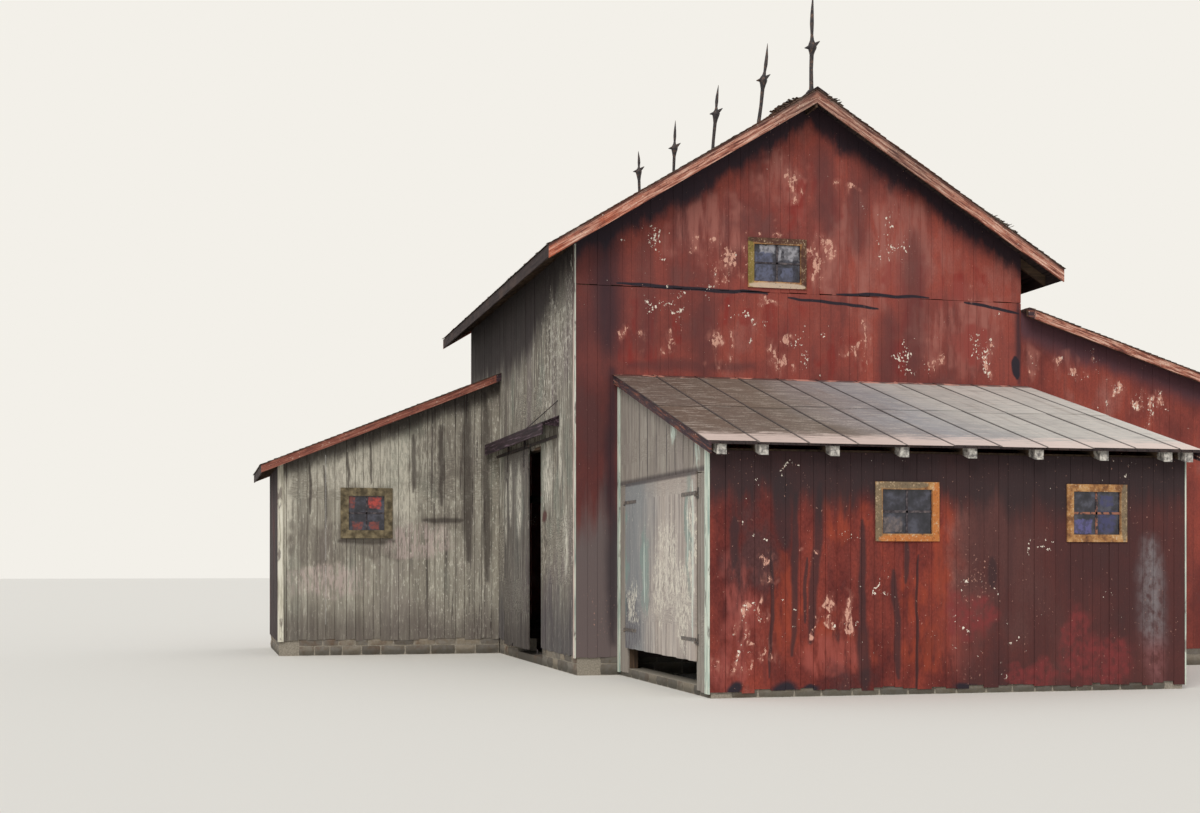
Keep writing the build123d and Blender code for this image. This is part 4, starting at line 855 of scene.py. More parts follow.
boards("right_lean_to_side_boards", "barn", "red_boards", back_red, to_right, ["lean_to_side_walls"], [right_side], Seed=19)
shed_sides = solids_of("shed_side_walls")
boards("shed_right_boards", "barn", "red_boards", back_red, to_right, ["shed_side_walls"], shed_sides[-1:], Seed=20)


# Grey board walls
# The same sawn boards, left bare or long without paint: silver grey, streaked by rain, with raised
# pale grain where the light catches it and dark, damp feet.
silver = paint(172, 167, 154)
bare_grey = paint(136, 130, 120)
wet_grey = paint(86, 80, 76)
pale_grain_and_highlight = paint(226, 221, 206)
mauve_stain = paint(112, 98, 100)
green_stain = paint(112, 122, 112)
brown_stain = paint(86, 70, 66)
soot_and_shade = paint(50, 42, 43)


def grey_finish(name, stains=None, brushed=1.0, fleck_places=()):
    """Bare weathered boards: stains is a function that lays a wall's own patches over them."""
    finish = Finish(name, roughness=0.9)
    tone = finish.tone()
    streaks = finish.noise((12, 12, 0.7), detail=7, roughness=0.68, shift=tone)
    body = finish.ramp(streaks, (0.34, wet_grey), (0.48, bare_grey), (0.6, silver))
    own = finish.ramp(tone, (0.0, paint(220, 216, 212)), (1.0, paint(255, 255, 255)))
    body = finish.blend(0.85, body, own, "MULTIPLY")
    tints = finish.noise((0.9, 0.9, 0.45), detail=4)
    body = finish.blend(finish.product(finish.band(tints, 0.52, 0.68), 0.5), body, mauve_stain)
    body = finish.blend(finish.product(finish.band(tints, 0.46, 0.34), 0.4), body, green_stain)
    weave = finish.noise((26, 26, 6), detail=4, roughness=0.7)
    body = finish.blend(finish.product(finish.band(weave, 0.46, 0.34), 0.45), body, brown_stain)
    # Painted highlight: pale raised grain where the light catches it; brushed sets how strong it is.
    caught = finish.band(finish.sum(weave, finish.product(streaks, 0.35)), 0.76, 0.84)
    body = finish.blend(finish.product(caught, 0.65 * brushed), body, pale_grain_and_highlight)
    if stains:
        body = stains(finish, body)
    if fleck_places:
        flecks = finish.noise((24, 24, 7), detail=5, roughness=0.65)
        thick = finish.spots(fleck_places, sideways=True, ragged=1.3)
        fleck = finish.band(finish.sum(flecks, finish.product(thick, 0.18)), 0.72, 0.8)
        body = finish.blend(finish.product(fleck, 0.9), body, paint(226, 220, 206))
    grain = finish.noise((60, 60, 3), detail=3)
    return finish.done(body, finish.sum(grain, streaks), 0.006)


def left_wall_stains(finish, body):
    """Painted shade under the eave, deeper towards the back, pale worn streaks, and a dark foot."""
    # Painted shade under the eave: dark near the top, and reaching lower towards the back.
    drop = finish.sum(finish.product(finish.z, -1.0), left_wall_top)
    ragged = finish.sum(
        drop, finish.product(finish.noise((1.8, 1.8, 0.4), detail=5), 1.3),
        finish.product(finish.band(finish.y, 0.8, 5.0), -1.0),
    )
    worn = finish.product(finish.strokes(wall_worn, sideways=True, softness=0.8), weave_of(finish))
    body = finish.blend(finish.product(worn, 0.8), body, pale_grain_and_highlight)
    body = finish.blend(finish.product(finish.band(ragged, 1.6, 0.8), 0.93), body, soot_and_shade)
    foot = finish.band(finish.sum(finish.z, finish.product(finish.noise((3, 3, 0.5), detail=5), 2.0)), 3.2, 1.6)
    body = finish.blend(finish.product(foot, 0.72), body, paint(70, 66, 72))
    return finish.blend(finish.product(finish.spots(latch_place, sideways=True, ragged=0.2), 0.8), body, paint(84, 40, 40))


def weave_of(finish):
    """Broken brush marks along the boards."""
    return finish.band(finish.noise((22, 22, 4), detail=4, roughness=0.7), 0.42, 0.56)


def left_front_stains(finish, body):
    """A pale middle, dark bands towards the barn, a brown foot and painted shade under the roof."""
    body = finish.blend(0.3, body, paint(186, 180, 164))
    pale = finish.product(finish.spots(lean_pale), finish.sum(finish.product(weave_of(finish), 0.6), 0.3))
    body = finish.blend(finish.product(pale, 0.8), body, paint(212, 206, 190))
    rain = finish.band(finish.noise((15, 15, 0.6), detail=5), 0.58, 0.68)
    towards_barn = finish.sum(finish.product(finish.band(finish.x, -6.8, -5.4), 0.45), 0.3)
    body = finish.blend(finish.product(rain, towards_barn), body, soot_and_shade)
    flecks = finish.sum(finish.noise((24, 24, 9), detail=4, roughness=0.7), finish.product(towards_barn, 0.12))
    body = finish.blend(finish.product(finish.band(flecks, 0.66, 0.74), 0.65), body, pale_grain_and_highlight)
    dull = finish.product(finish.spots(lean_dull, ragged=0.9), finish.sum(finish.product(weave_of(finish), -0.5), 1.0))
    body = finish.blend(finish.product(dull, 0.55), body, paint(92, 82, 76))
    body = finish.blend(finish.product(finish.strokes(lean_bands, softness=0.6), 0.75), body, paint(64, 56, 52))
    pinkish = finish.product(finish.spots(lean_pinkish), weave_of(finish), 0.6)
    body = finish.blend(pinkish, body, paint(196, 176, 170))
    foot = finish.band(finish.sum(finish.z, finish.product(finish.noise((1.5, 1.5, 0.6)), 1.2)), 1.9, 1.0)
    body = finish.blend(finish.product(foot, 0.6), body, paint(84, 74, 70))
    # Painted shade under the lean-to's roof, ragged and fading down within about a metre.
    ragged = finish.sum(
        below_slope(finish, left_lean_top, left_pitch, left_corner),
        finish.product(finish.noise((2.4, 2.4, 0.8), detail=5), 0.5),
    )
    return finish.blend(finish.product(finish.band(ragged, 0.85, 0.5), 0.8), body, soot_and_shade)


def shaded_side(finish, body):
    """The left lean-to's outer side, painted almost black as shade, with a few red-brown patches."""
    patches = finish.band(finish.noise((1.2, 1.2, 0.5), detail=4), 0.5, 0.66)
    # Painted shade: nearly black over the whole side.
    body = finish.blend(0.9, body, paint(56, 44, 48))
    return finish.blend(finish.product(patches, 0.6), body, paint(94, 62, 60))


def over_door_stains(finish, body):
    """Even grey, a little warm, with dark joints, green-white marks and the shadow of the doors' heads."""
    body = finish.blend(0.55, body, paint(160, 150, 142))
    joints = finish.strokes(over_door_joints, sideways=True, softness=0.6, waver=0.04)
    body = finish.blend(finish.product(joints, 0.8), body, paint(56, 50, 54))
    over_opening = finish.product(finish.band(finish.z, 3.4, 3.33), finish.band(finish.z, 3.28, 3.3))
    body = finish.blend(finish.product(over_opening, 0.7), body, paint(70, 62, 64))
    mint = finish.product(finish.spots(over_door_mint, sideways=True, ragged=0.2), weave_of(finish))
    return finish.blend(mint, body, paint(204, 216, 204))


wall_worn = (
    (7.1, 5.0, 7.1, 3.2, 0.12), (5.8, 3.4, 5.8, 2.9, 0.1), (2.3, 4.3, 2.3, 3.2, 0.35), (0.75, 2.8, 0.75, 1.8, 0.16),
    (6.3, 4.2, 6.3, 3.0, 0.1), (1.2, 4.6, 1.2, 3.4, 0.12), (3.0, 3.4, 3.0, 2.4, 0.1),
)
wall_flecks = ((1.6, 5.9, 1.35, 1.1), (2.4, 5.2, 0.9, 0.7), (2.2, 3.6, 0.6, 0.5), (0.8, 2.4, 0.3, 0.5), (0.4, 6.3, 0.3, 0.9))
latch_place = ((2.55, 2.85, 0.2, 0.12),)
lean_pale = ((-7.4, 4.05, 1.2, 0.5), (-8.85, 3.2, 0.16, 1.4), (-6.3, 3.2, 0.35, 0.5), (-6.4, 4.2, 0.8, 0.5))
lean_dull = ((-8.1, 2.35, 0.75, 0.45), (-5.5, 4.2, 0.7, 0.8), (-5.4, 2.9, 0.5, 0.3), (-6.9, 2.2, 0.6, 0.2))
lean_pinkish = ((-6.0, 2.4, 0.7, 0.35), (-7.9, 1.6, 0.8, 0.35))
lean_bands = (
    (-4.95, 5.4, -4.92, 2.0, 0.11), (-4.55, 5.6, -4.5, 1.6, 0.09), (-7.52, 4.3, -7.5, 3.6, 0.03),
    (-5.5, 4.9, -5.5, 3.2, 0.06), (-8.3, 4.1, -8.3, 3.0, 0.03), (-7.05, 4.5, -7.03, 3.65, 0.025),
    (-6.1, 4.7, -6.1, 3.5, 0.05), (-5.9, 2.87, -5.0, 2.87, 0.06), (-8.0, 4.0, -7.98, 2.7, 0.03),
    (-7.7, 2.42, -6.5, 2.42, 0.07),
)
over_door_joints = (
    (-0.9, 4.6, -0.9, 3.4, 0.013), (-1.38, 4.6, -1.38, 3.33, 0.018), (-1.87, 4.55, -1.87, 3.34, 0.02),
    (-2.38, 4.4, -2.38, 3.4, 0.02), (-2.99, 4.1, -2.99, 3.31, 0.022), (-3.43, 3.95, -3.43, 3.35, 0.018),
    (-3.87, 3.9, -3.87, 3.45, 0.013), (-4.41, 3.8, -4.41, 3.4, 0.018),
)
over_door_mint = ((-3.35, 4.0, 0.14, 0.2), (-4.6, 3.6, 0.12, 0.25))
left_wall_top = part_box("left_wall")[1].z
left_lean_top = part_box("left_lean_to_roof")[1].z
left_grey = grey_finish("bare boards of the left wall", left_wall_stains, 1.0, wall_flecks)
lean_grey = grey_finish("bare boards of the left lean-to", left_front_stains)
side_grey = grey_finish("dark boards of the left lean-to", shaded_side, 0.6)
shed_grey = grey_finish("bare boards over the shed doors", over_door_stains, 0.4)
boards("left_wall_boards", "barn", "grey_boards", left_grey, to_left, ["left_wall", "left_wall_over_doorways"], Seed=21, Foot=0.05, Gap=0.01)
boards("left_lean_to_boards", "barn", "grey_boards", lean_grey, to_front, ["left_lean_to_front"], Seed=22, Foot=0.05, Gap=0.009)
boards("left_lean_to_side_boards", "barn", "grey_boards", side_grey, to_left, ["lean_to_side_walls"], [left_side], Seed=23)
boards("boards_over_shed_doors", "barn", "grey_boards", shed_grey, to_left, ["shed_wall_over_doors"], Seed=24, Gap=0.014)
boards("strips_beside_shed_doors", "barn", "grey_boards", shed_grey, to_left, ["shed_side_walls"], shed_sides[:-1], Seed=25)


# Trim
# Verge boards in faded salmon paint over an older orange-red, pale corner boards, and dark eave
# boards, all nailed over the ends of the wall boards and rafters.
def trim_finish():
    """Faded paint brushed along each slope, by how high the slope is and how far down it runs."""
    finish = Finish("worn verge paint", roughness=0.8)
    outward = number(finish.tree, "ABSOLUTE", finish.x)
    low = finish.band(finish.z, 6.8, 6.7)
    on_shed = finish.product(low, finish.band(outward, 4.4, 4.35))
    on_lean = finish.product(low, finish.opposite(on_shed))
    on_left = finish.band(finish.x, 0.05, -0.05)
    run = finish.sum(finish.product(outward, finish.opposite(on_shed)), finish.product(finish.y, on_shed, -1.0))
    pitch = finish.sum(
        finish.product(finish.opposite(low), main_pitch), finish.product(on_shed, shed_pitch),
        finish.product(on_lean, on_left, left_pitch), finish.product(on_lean, finish.opposite(on_left), right_pitch),
    )
    height = finish.sum(finish.z, finish.product(run, pitch))
    place = add_node(finish.tree, "ShaderNodeCombineXYZ", {"X": finish.product(run, 2.2), "Z": finish.product(height, 30.0)})
    cloud = {"Vector": place, "Scale": 1.0, "Detail": 5.0, "Roughness": 0.65}
    brushed = add_node(finish.tree, "ShaderNodeTexNoise", cloud)
    length = finish.noise((1.1, 1.1, 1.1), detail=5)
    fine = finish.noise((26, 26, 26), detail=4, roughness=0.7)
    salmon = finish.ramp(brushed, (0.4, paint(96, 54, 48)), (0.49, paint(172, 108, 88)), (0.59, paint(218, 176, 156)))
    orange = finish.product(finish.band(finish.x, -2.8, -4.6), finish.band(length, 0.4, 0.6))
    salmon = finish.blend(finish.product(orange, 0.65), salmon, paint(196, 92, 54))
    greyed = finish.most(finish.band(outward, 1.5, 0.3), finish.product(finish.opposite(on_left), finish.band(outward, 3.4, 1.6)))
    greyed = finish.product(greyed, finish.sum(finish.product(finish.band(length, 0.4, 0.6), 0.5), 0.5))
    brown = finish.ramp(brushed, (0.38, paint(70, 50, 48)), (0.5, paint(128, 96, 84)), (0.62, paint(172, 146, 130)))
    body = finish.blend(finish.product(greyed, finish.opposite(low), 0.85), salmon, brown)
    red_brown = finish.ramp(brushed, (0.34, paint(96, 56, 50)), (0.5, paint(140, 82, 68)), (0.68, paint(178, 126, 108)))
    body = finish.blend(finish.product(on_lean, on_left), body, red_brown)
    # The shed's verge is dark violet: painted shade along the edge of its roof, with rust-red touches of paint.
    violet = finish.ramp(brushed, (0.36, paint(44, 38, 48)), (0.52, paint(70, 52, 56)), (0.64, paint(140, 86, 68)))
    body = finish.blend(on_shed, body, violet)
    top_edge = finish.band(finish.sum(height, finish.product(fine, 0.09)), verge_top - 0.03, verge_top + 0.02)
    body = finish.blend(finish.product(top_edge, finish.opposite(low), 0.7), body, paint(72, 50, 47))
    worn = finish.band(finish.sum(fine, finish.product(brushed, 0.3)), 0.58, 0.5)
    body = finish.blend(finish.product(worn, 0.6), body, paint(84, 60, 56))
    chipped = finish.band(finish.sum(fine, finish.product(brushed, 0.25)), 0.77, 0.82)
    body = finish.blend(finish.product(chipped, 0.8), body, paint(232, 214, 196))
    return finish.done(body, finish.sum(brushed, finish.product(fine, 0.5)), 0.006)


def pale_finish():
    """Pale paint on the corner boards: green-white on the shed, pinkish on the barn, cream on the lean-to."""
    finish = Finish("pale corner paint", roughness=0.8)
    brushed = finish.noise((22, 22, 1.4), detail=6, roughness=0.65)
    patches = finish.noise((7, 7, 2.2), detail=5)
    mint = finish.ramp(brushed, (0.36, paint(150, 168, 158)), (0.5, paint(200, 210, 196)), (0.64, paint(226, 228, 212)))
    pink = finish.ramp(brushed, (0.38, paint(150, 128, 122)), (0.5, paint(206, 184, 172)), (0.62, paint(228, 214, 204)))
    cream = finish.ramp(brushed, (0.38, paint(160, 154, 138)), (0.5, paint(208, 202, 184)), (0.62, paint(230, 226, 210)))
    on_shed = finish.band(finish.y, 0.0, -0.04)
    body = finish.blend(on_shed, finish.blend(finish.band(finish.x, -6.0, -7.0), pink, cream), mint)
    worn = finish.band(patches, 0.56, 0.64)
    body = finish.blend(finish.product(worn, 0.75), body, paint(104, 92, 88))
    top = finish.product(finish.opposite(on_shed), finish.band(finish.sum(finish.z, finish.product(patches, 1.5)), 6.6, 7.4))
    body = finish.blend(finish.product(top, 0.85), body, paint(70, 54, 54))
    return finish.done(body, brushed, 0.004)


def dark_finish(name, stretch, gap_width=0.0):
    """Old boards gone nearly black, and nearly black as painted shade where roof boards are seen from below: gap_width
    draws the joints between them.
    """
    finish = Finish(name, roughness=0.9)
    grain = finish.noise(stretch, detail=5)
    patches = finish.noise((1.3, 1.3, 1.3), detail=3)
    body = finish.ramp(grain, (0.3, paint(38, 31, 34)), (0.72, paint(70, 58, 56)))
    body = finish.blend(finish.product(finish.band(patches, 0.5, 0.7), 0.5), body, paint(92, 74, 66))
    if gap_width:
        across = number(finish.tree, "PINGPONG", finish.x, gap_width / 2)
        joint = finish.opposite(finish.band(across, 0.004, 0.012))
        body = finish.blend(finish.product(joint, 0.85), body, paint(16, 13, 14))
    return finish.done(body, grain, 0.005)


verge_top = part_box("verge_boards")[1].z
roof_board_width = 0.19
# The roof boards' undersides are nearly black, partly old wood and partly painted shade under the eaves.
soffit_material = dark_finish("roof boards from below", grain_in_y, roof_board_width)
dress(trim_finish(), "verge_boards")
dress(pale_finish(), "corner_boards")
dress(dark_finish("eave boards", grain_in_y), "eave_boards")
dress(soffit_material, "main_roof_left", "main_roof_right", "left_lean_to_roof", "right_lean_to_roof", "shed_roof")


# Wood shingles
# Split shingles laid in courses, each course over the one below, and nailed to the roof boards.
# They have weathered brown and grey, and some have curled or lifted.
def course_tree():
    """Courses of flat pieces up a slope, each tucked under the course above it."""
    tree, given = new_tree(
        "courses on a slope", Origin=(0.0, 0.0, 0.0), Down=(1.0, 0.0, 0.0), Along=(0.0, 1.0, 0.0),
        Normal=(0.0, 0.0, 1.0), Reach=5.0, Length=10.0, Course=0.14, Width=0.13, Piece=0.2,
        Thickness=0.008, Fall=0.014, Gap=0.005, Stagger=1.0, Curl=0.12, Rarity=9.0, Seed=1,
        Material=None,
    )
    rows = number(tree, "CEIL", number(tree, "DIVIDE", given["Reach"], given["Course"]))
    columns = number(tree, "ADD", number(tree, "CEIL", number(tree, "DIVIDE", given["Length"], given["Width"])), 1.0)
    points = add_node(tree, "GeometryNodePoints", {"Count": number(tree, "MULTIPLY", rows, columns)})
    index = add_node(tree, "GeometryNodeInputIndex")
    row = number(tree, "FLOOR", number(tree, "DIVIDE", number(tree, "ADD", index, 0.5), columns))
    column = number(tree, "SUBTRACT", index, number(tree, "MULTIPLY", row, columns))
    shift = number(tree, "MULTIPLY", random_number(tree, -1.0, 0.0, given["Seed"], row), given["Stagger"])
    mark = number(tree, "ADD", number(tree, "MULTIPLY", row, 1009.0), column)
    next_seed = number(tree, "ADD", given["Seed"], 1.0)
    edges = []
    for step in (0.0, 1.0):
        wander = random_number(tree, 0.0, 0.35, next_seed, number(tree, "ADD", mark, step))
        wander = number(tree, "MULTIPLY", wander, given["Stagger"])
        edge = number(tree, "ADD", number(tree, "ADD", column, step), number(tree, "ADD", shift, wander))
        edge = number(tree, "MULTIPLY", edge, given["Width"])
        edges.append(number(tree, "MINIMUM", number(tree, "MAXIMUM", edge, 0.0), given["Length"]))
    width = number(tree, "SUBTRACT", number(tree, "SUBTRACT", edges[1], edges[0]), given["Gap"])
    kept = number(tree, "GREATER_THAN", width, 0.01)
    along = number(tree, "MULTIPLY", number(tree, "ADD", edges[0], edges[1]), 0.5)
    slack = random_number(tree, -0.05, 0.05, number(tree, "ADD", given["Seed"], 2.0))
    butt = number(tree, "MULTIPLY", number(tree, "ADD", number(tree, "ADD", row, 1.0), slack), given["Course"])
    butt = number(tree, "MINIMUM", butt, given["Reach"])
    length = number(tree, "MINIMUM", given["Piece"], number(tree, "SUBTRACT", butt, 0.002))
    down = number(tree, "SUBTRACT", butt, number(tree, "MULTIPLY", length, 0.5))
    sunk = number(tree, "MULTIPLY", number(tree, "ADD", given["Thickness"], given["Fall"]), -0.5)
    place = vector(tree, "ADD", given["Origin"], scaled(tree, given["Down"], down))
    place = vector(tree, "ADD", place, scaled(tree, given["Along"], along))
    place = vector(tree, "ADD", place, scaled(tree, given["Normal"], sunk))
    placed = add_node(tree, "GeometryNodeSetPosition", {"Geometry": points, "Position": place})
    axes = {"Primary Axis": given["Normal"], "Secondary Axis": given["Down"]}
    flat = add_node(tree, "FunctionNodeAxesToRotation", axes, primary_axis="Z", secondary_axis="X")
    chance = random_number(tree, 0.0, 1.0, number(tree, "ADD", given["Seed"], 3.0))
    curl = number(tree, "MULTIPLY", number(tree, "POWER", chance, given["Rarity"]), given["Curl"])
    lean = number(tree, "ADD", number(tree, "DIVIDE", given["Fall"], given["Piece"]), curl)
    lean = add_node(tree, "ShaderNodeCombineXYZ", {"Y": number(tree, "MULTIPLY", lean, -1.0)})
    lean = add_node(tree, "FunctionNodeEulerToRotation", {0: lean})
    turned = add_node(tree, "FunctionNodeRotateRotation", {0: flat, 1: lean}, rotation_space="LOCAL")
    size = add_node(tree, "ShaderNodeCombineXYZ", {"X": length, "Y": width, "Z": given["Thickness"]})
    shape = add_node(tree, "GeometryNodeMeshCube", {"Size": (1.0, 1.0, 1.0)})
    inputs = {"Points": placed, "Selection": kept, "Instance": shape, "Rotation": turned, "Scale": size}
    pieces = add_node(tree, "GeometryNodeInstanceOnPoints", inputs)
    tone = random_number(tree, 0.0, 1.0, number(tree, "ADD", given["Seed"], 4.0))
    named = {"Geometry": pieces, "Name": "board", "Value": tone}
    pieces = add_node(tree, "GeometryNodeStoreNamedAttribute", named, domain="INSTANCE")
    pieces = add_node(tree, "GeometryNodeRealizeInstances", {"Geometry": pieces})
    end_tree(tree, pieces, given["Material"])
    return tree


def shingle_finish():
    finish = Finish("weathered shingles", roughness=0.9)
    tone = finish.tone()
    grain = finish.noise((16, 5, 16), detail=5, shift=tone)
    patches = finish.noise((0.6, 0.6, 0.6), detail=4)
    wood = finish.ramp(tone, (0.0, paint(84, 72, 65)), (0.5, paint(104, 91, 82)), (1.0, paint(126, 112, 101)))
    wood = finish.blend(finish.product(finish.band(patches, 0.5, 0.7), 0.6), wood, paint(120, 74, 52))
    wood = finish.blend(finish.product(finish.band(patches, 0.5, 0.3), 0.5), wood, paint(96, 98, 90))
    wood = finish.blend(0.5, wood, finish.ramp(grain, (0.3, paint(90, 84, 80)), (0.7, paint(255, 250, 245))), "MULTIPLY")
    return finish.done(wood, grain, 0.004)


def slope_frame(side, pitch):
    """Unit vectors down a slope and square to it, for a slope that falls along this direction."""
    slant = (1 + pitch**2) ** 0.5
    down = (side[0] / slant, side[1] / slant, -pitch / slant)
    normal = (side[0] * pitch / slant, side[1] * pitch / slant, 1 / slant)
    return down, normal, slant


def coat(name, material, low, high, side, pitch, **sizes):
    """Courses on one slope, laid in the place of the coat's own solid."""
    down, normal, slant = slope_frame(side, pitch)
    if side[0]:
        start = low.x if side[0] > 0 else high.x
        origin = (start, low.y, high.z)
        reach, length, along = (high.x - low.x) * slant, high.y - low.y, along_y
    else:
        origin = (low.x, high.y, high.z)
        reach, length, along = (high.y - low.y) * slant, high.x - low.x, along_x
    return grow(
        name, slope_courses, box_mesh(low, high), Origin=origin, Down=down, Along=along, Normal=normal,
        Reach=reach, Length=length, Material=material, **sizes,
    )


def lifted(name, start, end, front_edge, back_edge, side, seed):
    """Loose shingles that stick up from a patch of the main roof, between two distances from the ridge."""
    top = ridge_top - main_pitch * start + loose_rise
    low = Vector((min(side[0] * start, side[0] * end), front_edge, top - main_pitch * (end - start)))
    high = Vector((max(side[0] * start, side[0] * end), back_edge, top))
    return coat(
        name, shingle_material, low, high, side, main_pitch, Course=0.055, Piece=0.2, Width=0.1,
        Curl=loose_curl, Rarity=1.0, Seed=seed,
    )


slope_courses = course_tree()
shingle_material = shingle_finish()
left_slope, right_slope = blocks_of("main_shingles")
slopes = [
    coat("left_slope", shingle_material, *left_slope, to_left, main_pitch, Seed=31),
    coat("right_slope", shingle_material, *right_slope, to_right, main_pitch, Seed=32),
]
fit(join_pieces("main_shingle_courses", slopes), "barn", "shingles", "main_shingles")
left_lean, right_lean = blocks_of("lean_to_shingles")
slopes = [
    coat("left_lean_slope", shingle_material, *left_lean, to_left, left_pitch, Seed=33),
    coat("right_lean_slope", shingle_material, *right_lean, to_right, right_pitch, Seed=34),
]
fit(join_pieces("lean_to_shingle_courses", slopes), "barn", "shingles", "lean_to_shingles")
loose_rise = 0.02
loose_curl = 0.9
loose = [
    lifted("loose_left_of_crest", 0.3, 0.78, -0.57, -0.2, to_left, 51),
    lifted("loose_right_of_crest", 0.14, 0.5, -0.57, -0.3, to_right, 52),
    lifted("loose_on_right_slope", 3.35, 3.9, -0.57, -0.2, to_right, 53),
]
fit(join_pieces("loose_shingles", loose), "barn", "shingles")
dress(dark_finish("ridge boards", grain_in_y), "ridge_cap")


# Shed roofing
# Long galvanised sheets laid down the slope over the roof boards, with narrow ribs where their
# edges meet. The left end has rusted brown, and the right has dulled to a pale grey.
sheet_width = 0.76
rib_width = 0.03


def sheet_finish():
    """Rust-brown at the left, blue-grey in the middle and pale at the right, worn pinkish at the eave."""
    finish = Finish("dulled roofing sheets", roughness=0.6, shine=0.35)
    broad = finish.noise((0.5, 0.35, 0.5), detail=4)
    across = finish.band(finish.sum(finish.x, finish.product(broad, 2.4)), -2.6, 5.6)
    body = finish.ramp(
        across, (0.0, paint(100, 82, 70)), (0.2, paint(114, 102, 90)), (0.38, paint(146, 138, 136)),
        (0.55, paint(154, 153, 156)), (0.75, paint(188, 184, 178)), (1.0, paint(206, 200, 192)),
    )
    body = finish.blend(finish.product(finish.tone(), 0.2), body, paint(96, 92, 92))
    streaks = finish.noise((9, 0.5, 0.5), detail=5)
    body = finish.blend(finish.product(finish.band(streaks, 0.5, 0.72), 0.35), body, paint(116, 96, 86))
    brushed = finish.noise((2.2, 13, 13), detail=6, roughness=0.7)
    body = finish.blend(finish.product(finish.band(brushed, 0.48, 0.34), 0.32), body, paint(92, 82, 80))
    grain = finish.noise((30, 44, 44), detail=3)
    # Painted highlight: pale streaks where the light catches the sheets.
    caught = finish.band(finish.sum(brushed, finish.product(grain, 0.5)), 0.78, 0.88)
    body = finish.blend(finish.product(caught, 0.36), body, paint(222, 210, 198))
    eave = finish.band(finish.sum(finish.product(finish.y, -1.0), finish.product(brushed, 1.6)), 5.5, 5.95)
    body = finish.blend(finish.product(eave, 0.75), body, paint(226, 204, 194))
    seam = number(finish.tree, "PINGPONG", finish.sum(finish.x, -sheets_start), sheet_width / 2)
    seam = finish.band(seam, rib_width * 0.7, rib_width * 0.45)
    body = finish.blend(finish.product(seam, 0.8), body, paint(58, 54, 56))
    flashing = finish.band(finish.sum(finish.y, finish.product(brushed, 0.12)), -0.16, -0.12)
    pink_touches = finish.band(finish.noise((3, 3, 3), detail=4), 0.52, 0.6)
    joint = finish.blend(pink_touches, paint(84, 46, 42), paint(206, 140, 122))
    body = finish.blend(finish.product(flashing, 0.85), body, joint)
    return finish.done(body, finish.sum(streaks, finish.product(brushed, 0.5)), 0.003)


sheets_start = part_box("shed_sheets")[0].x
sheet_material = sheet_finish()
low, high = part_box("shed_sheets")
sheet_run = (high.y - low.y) * (1 + shed_pitch**2) ** 0.5
sheets = coat(
    "sheets", sheet_material, low, high, to_front, shed_pitch, Course=sheet_run / 2 + 0.01,
    Piece=sheet_run / 2 + 0.14, Width=sheet_width, Thickness=0.004, Fall=0.008, Gap=0.004,
    Stagger=0.0, Curl=0.0006, Seed=35,
)
rib_low = low + Vector((sheet_width / 2, 0, 0))
rib_high = high + Vector((0, 0, 0.008))
ribs = coat(
    "ribs", sheet_material, rib_low, rib_high, to_front, shed_pitch, Course=sheet_run, Piece=sheet_run,
    Width=sheet_width, Thickness=0.014, Fall=0.004, Gap=sheet_width - rib_width, Stagger=0.0,
    Curl=0.0, Seed=36,
)
fit(join_pieces("shed_roofing_sheets", [sheets, ribs]), "barn", "shed_sheets", "shed_sheets")


# Windows
# Small barn sashes of four panes in plain board casings, painted ochre and worn through at the
# edges. The old glass is dark, uneven and dusty.
def casing_finish():
    """Worn ochre paint, more olive, orange or dark on some of the boards."""
    finish = Finish("worn ochre casings", roughness=0.8)
    brushed = finish.noise((7, 7, 7), detail=5)
    fine = finish.noise((34, 34, 34), detail=4, roughness=0.65)
    body = finish.ramp(brushed, (0.38, paint(126, 86, 56)), (0.5, paint(168, 120, 74)), (0.62, paint(190, 146, 96)))
    # Strokes of other colours along single casing boards: olive and orange sides, dark maroon along the top and right
    # of the gable window, and a pale bottom edge.
    for colour, lines in casing_colour_strokes:
        share = finish.strokes(lines, softness=0.3, waver=0.05)
        body = finish.blend(finish.product(share, 0.85), body, colour)
    worn = finish.band(finish.sum(fine, finish.product(brushed, 0.4)), 0.78, 0.86)
    body = finish.blend(finish.product(worn, 0.8), body, paint(206, 180, 148))
    bare = finish.band(finish.sum(fine, finish.product(brushed, 0.4)), 0.6, 0.52)
    body = finish.blend(finish.product(bare, 0.7), body, paint(74, 54, 46))
    on_lean = finish.band(finish.x, -5.0, -6.0)
    olive = finish.ramp(brushed, (0.4, paint(70, 68, 54)), (0.52, paint(98, 94, 76)), (0.64, paint(126, 118, 94)))
    body = finish.blend(finish.product(on_lean, 0.88), body, olive)
    return finish.done(body, fine, 0.004)


def bar_finish():
    finish = Finish("thin grey window bars", roughness=0.8)
    brushed = finish.noise((16, 16, 16), detail=5)
    body = finish.ramp(brushed, (0.4, paint(54, 48, 52)), (0.52, paint(76, 70, 74)), (0.64, paint(108, 98, 98)))
    in_second = finish.product(finish.band(finish.x, 1.0, 2.0), finish.band(brushed, 0.42, 0.54))
    body = finish.blend(finish.product(in_second, 0.8), body, paint(164, 106, 82))
    return finish.done(body, brushed, 0.003)


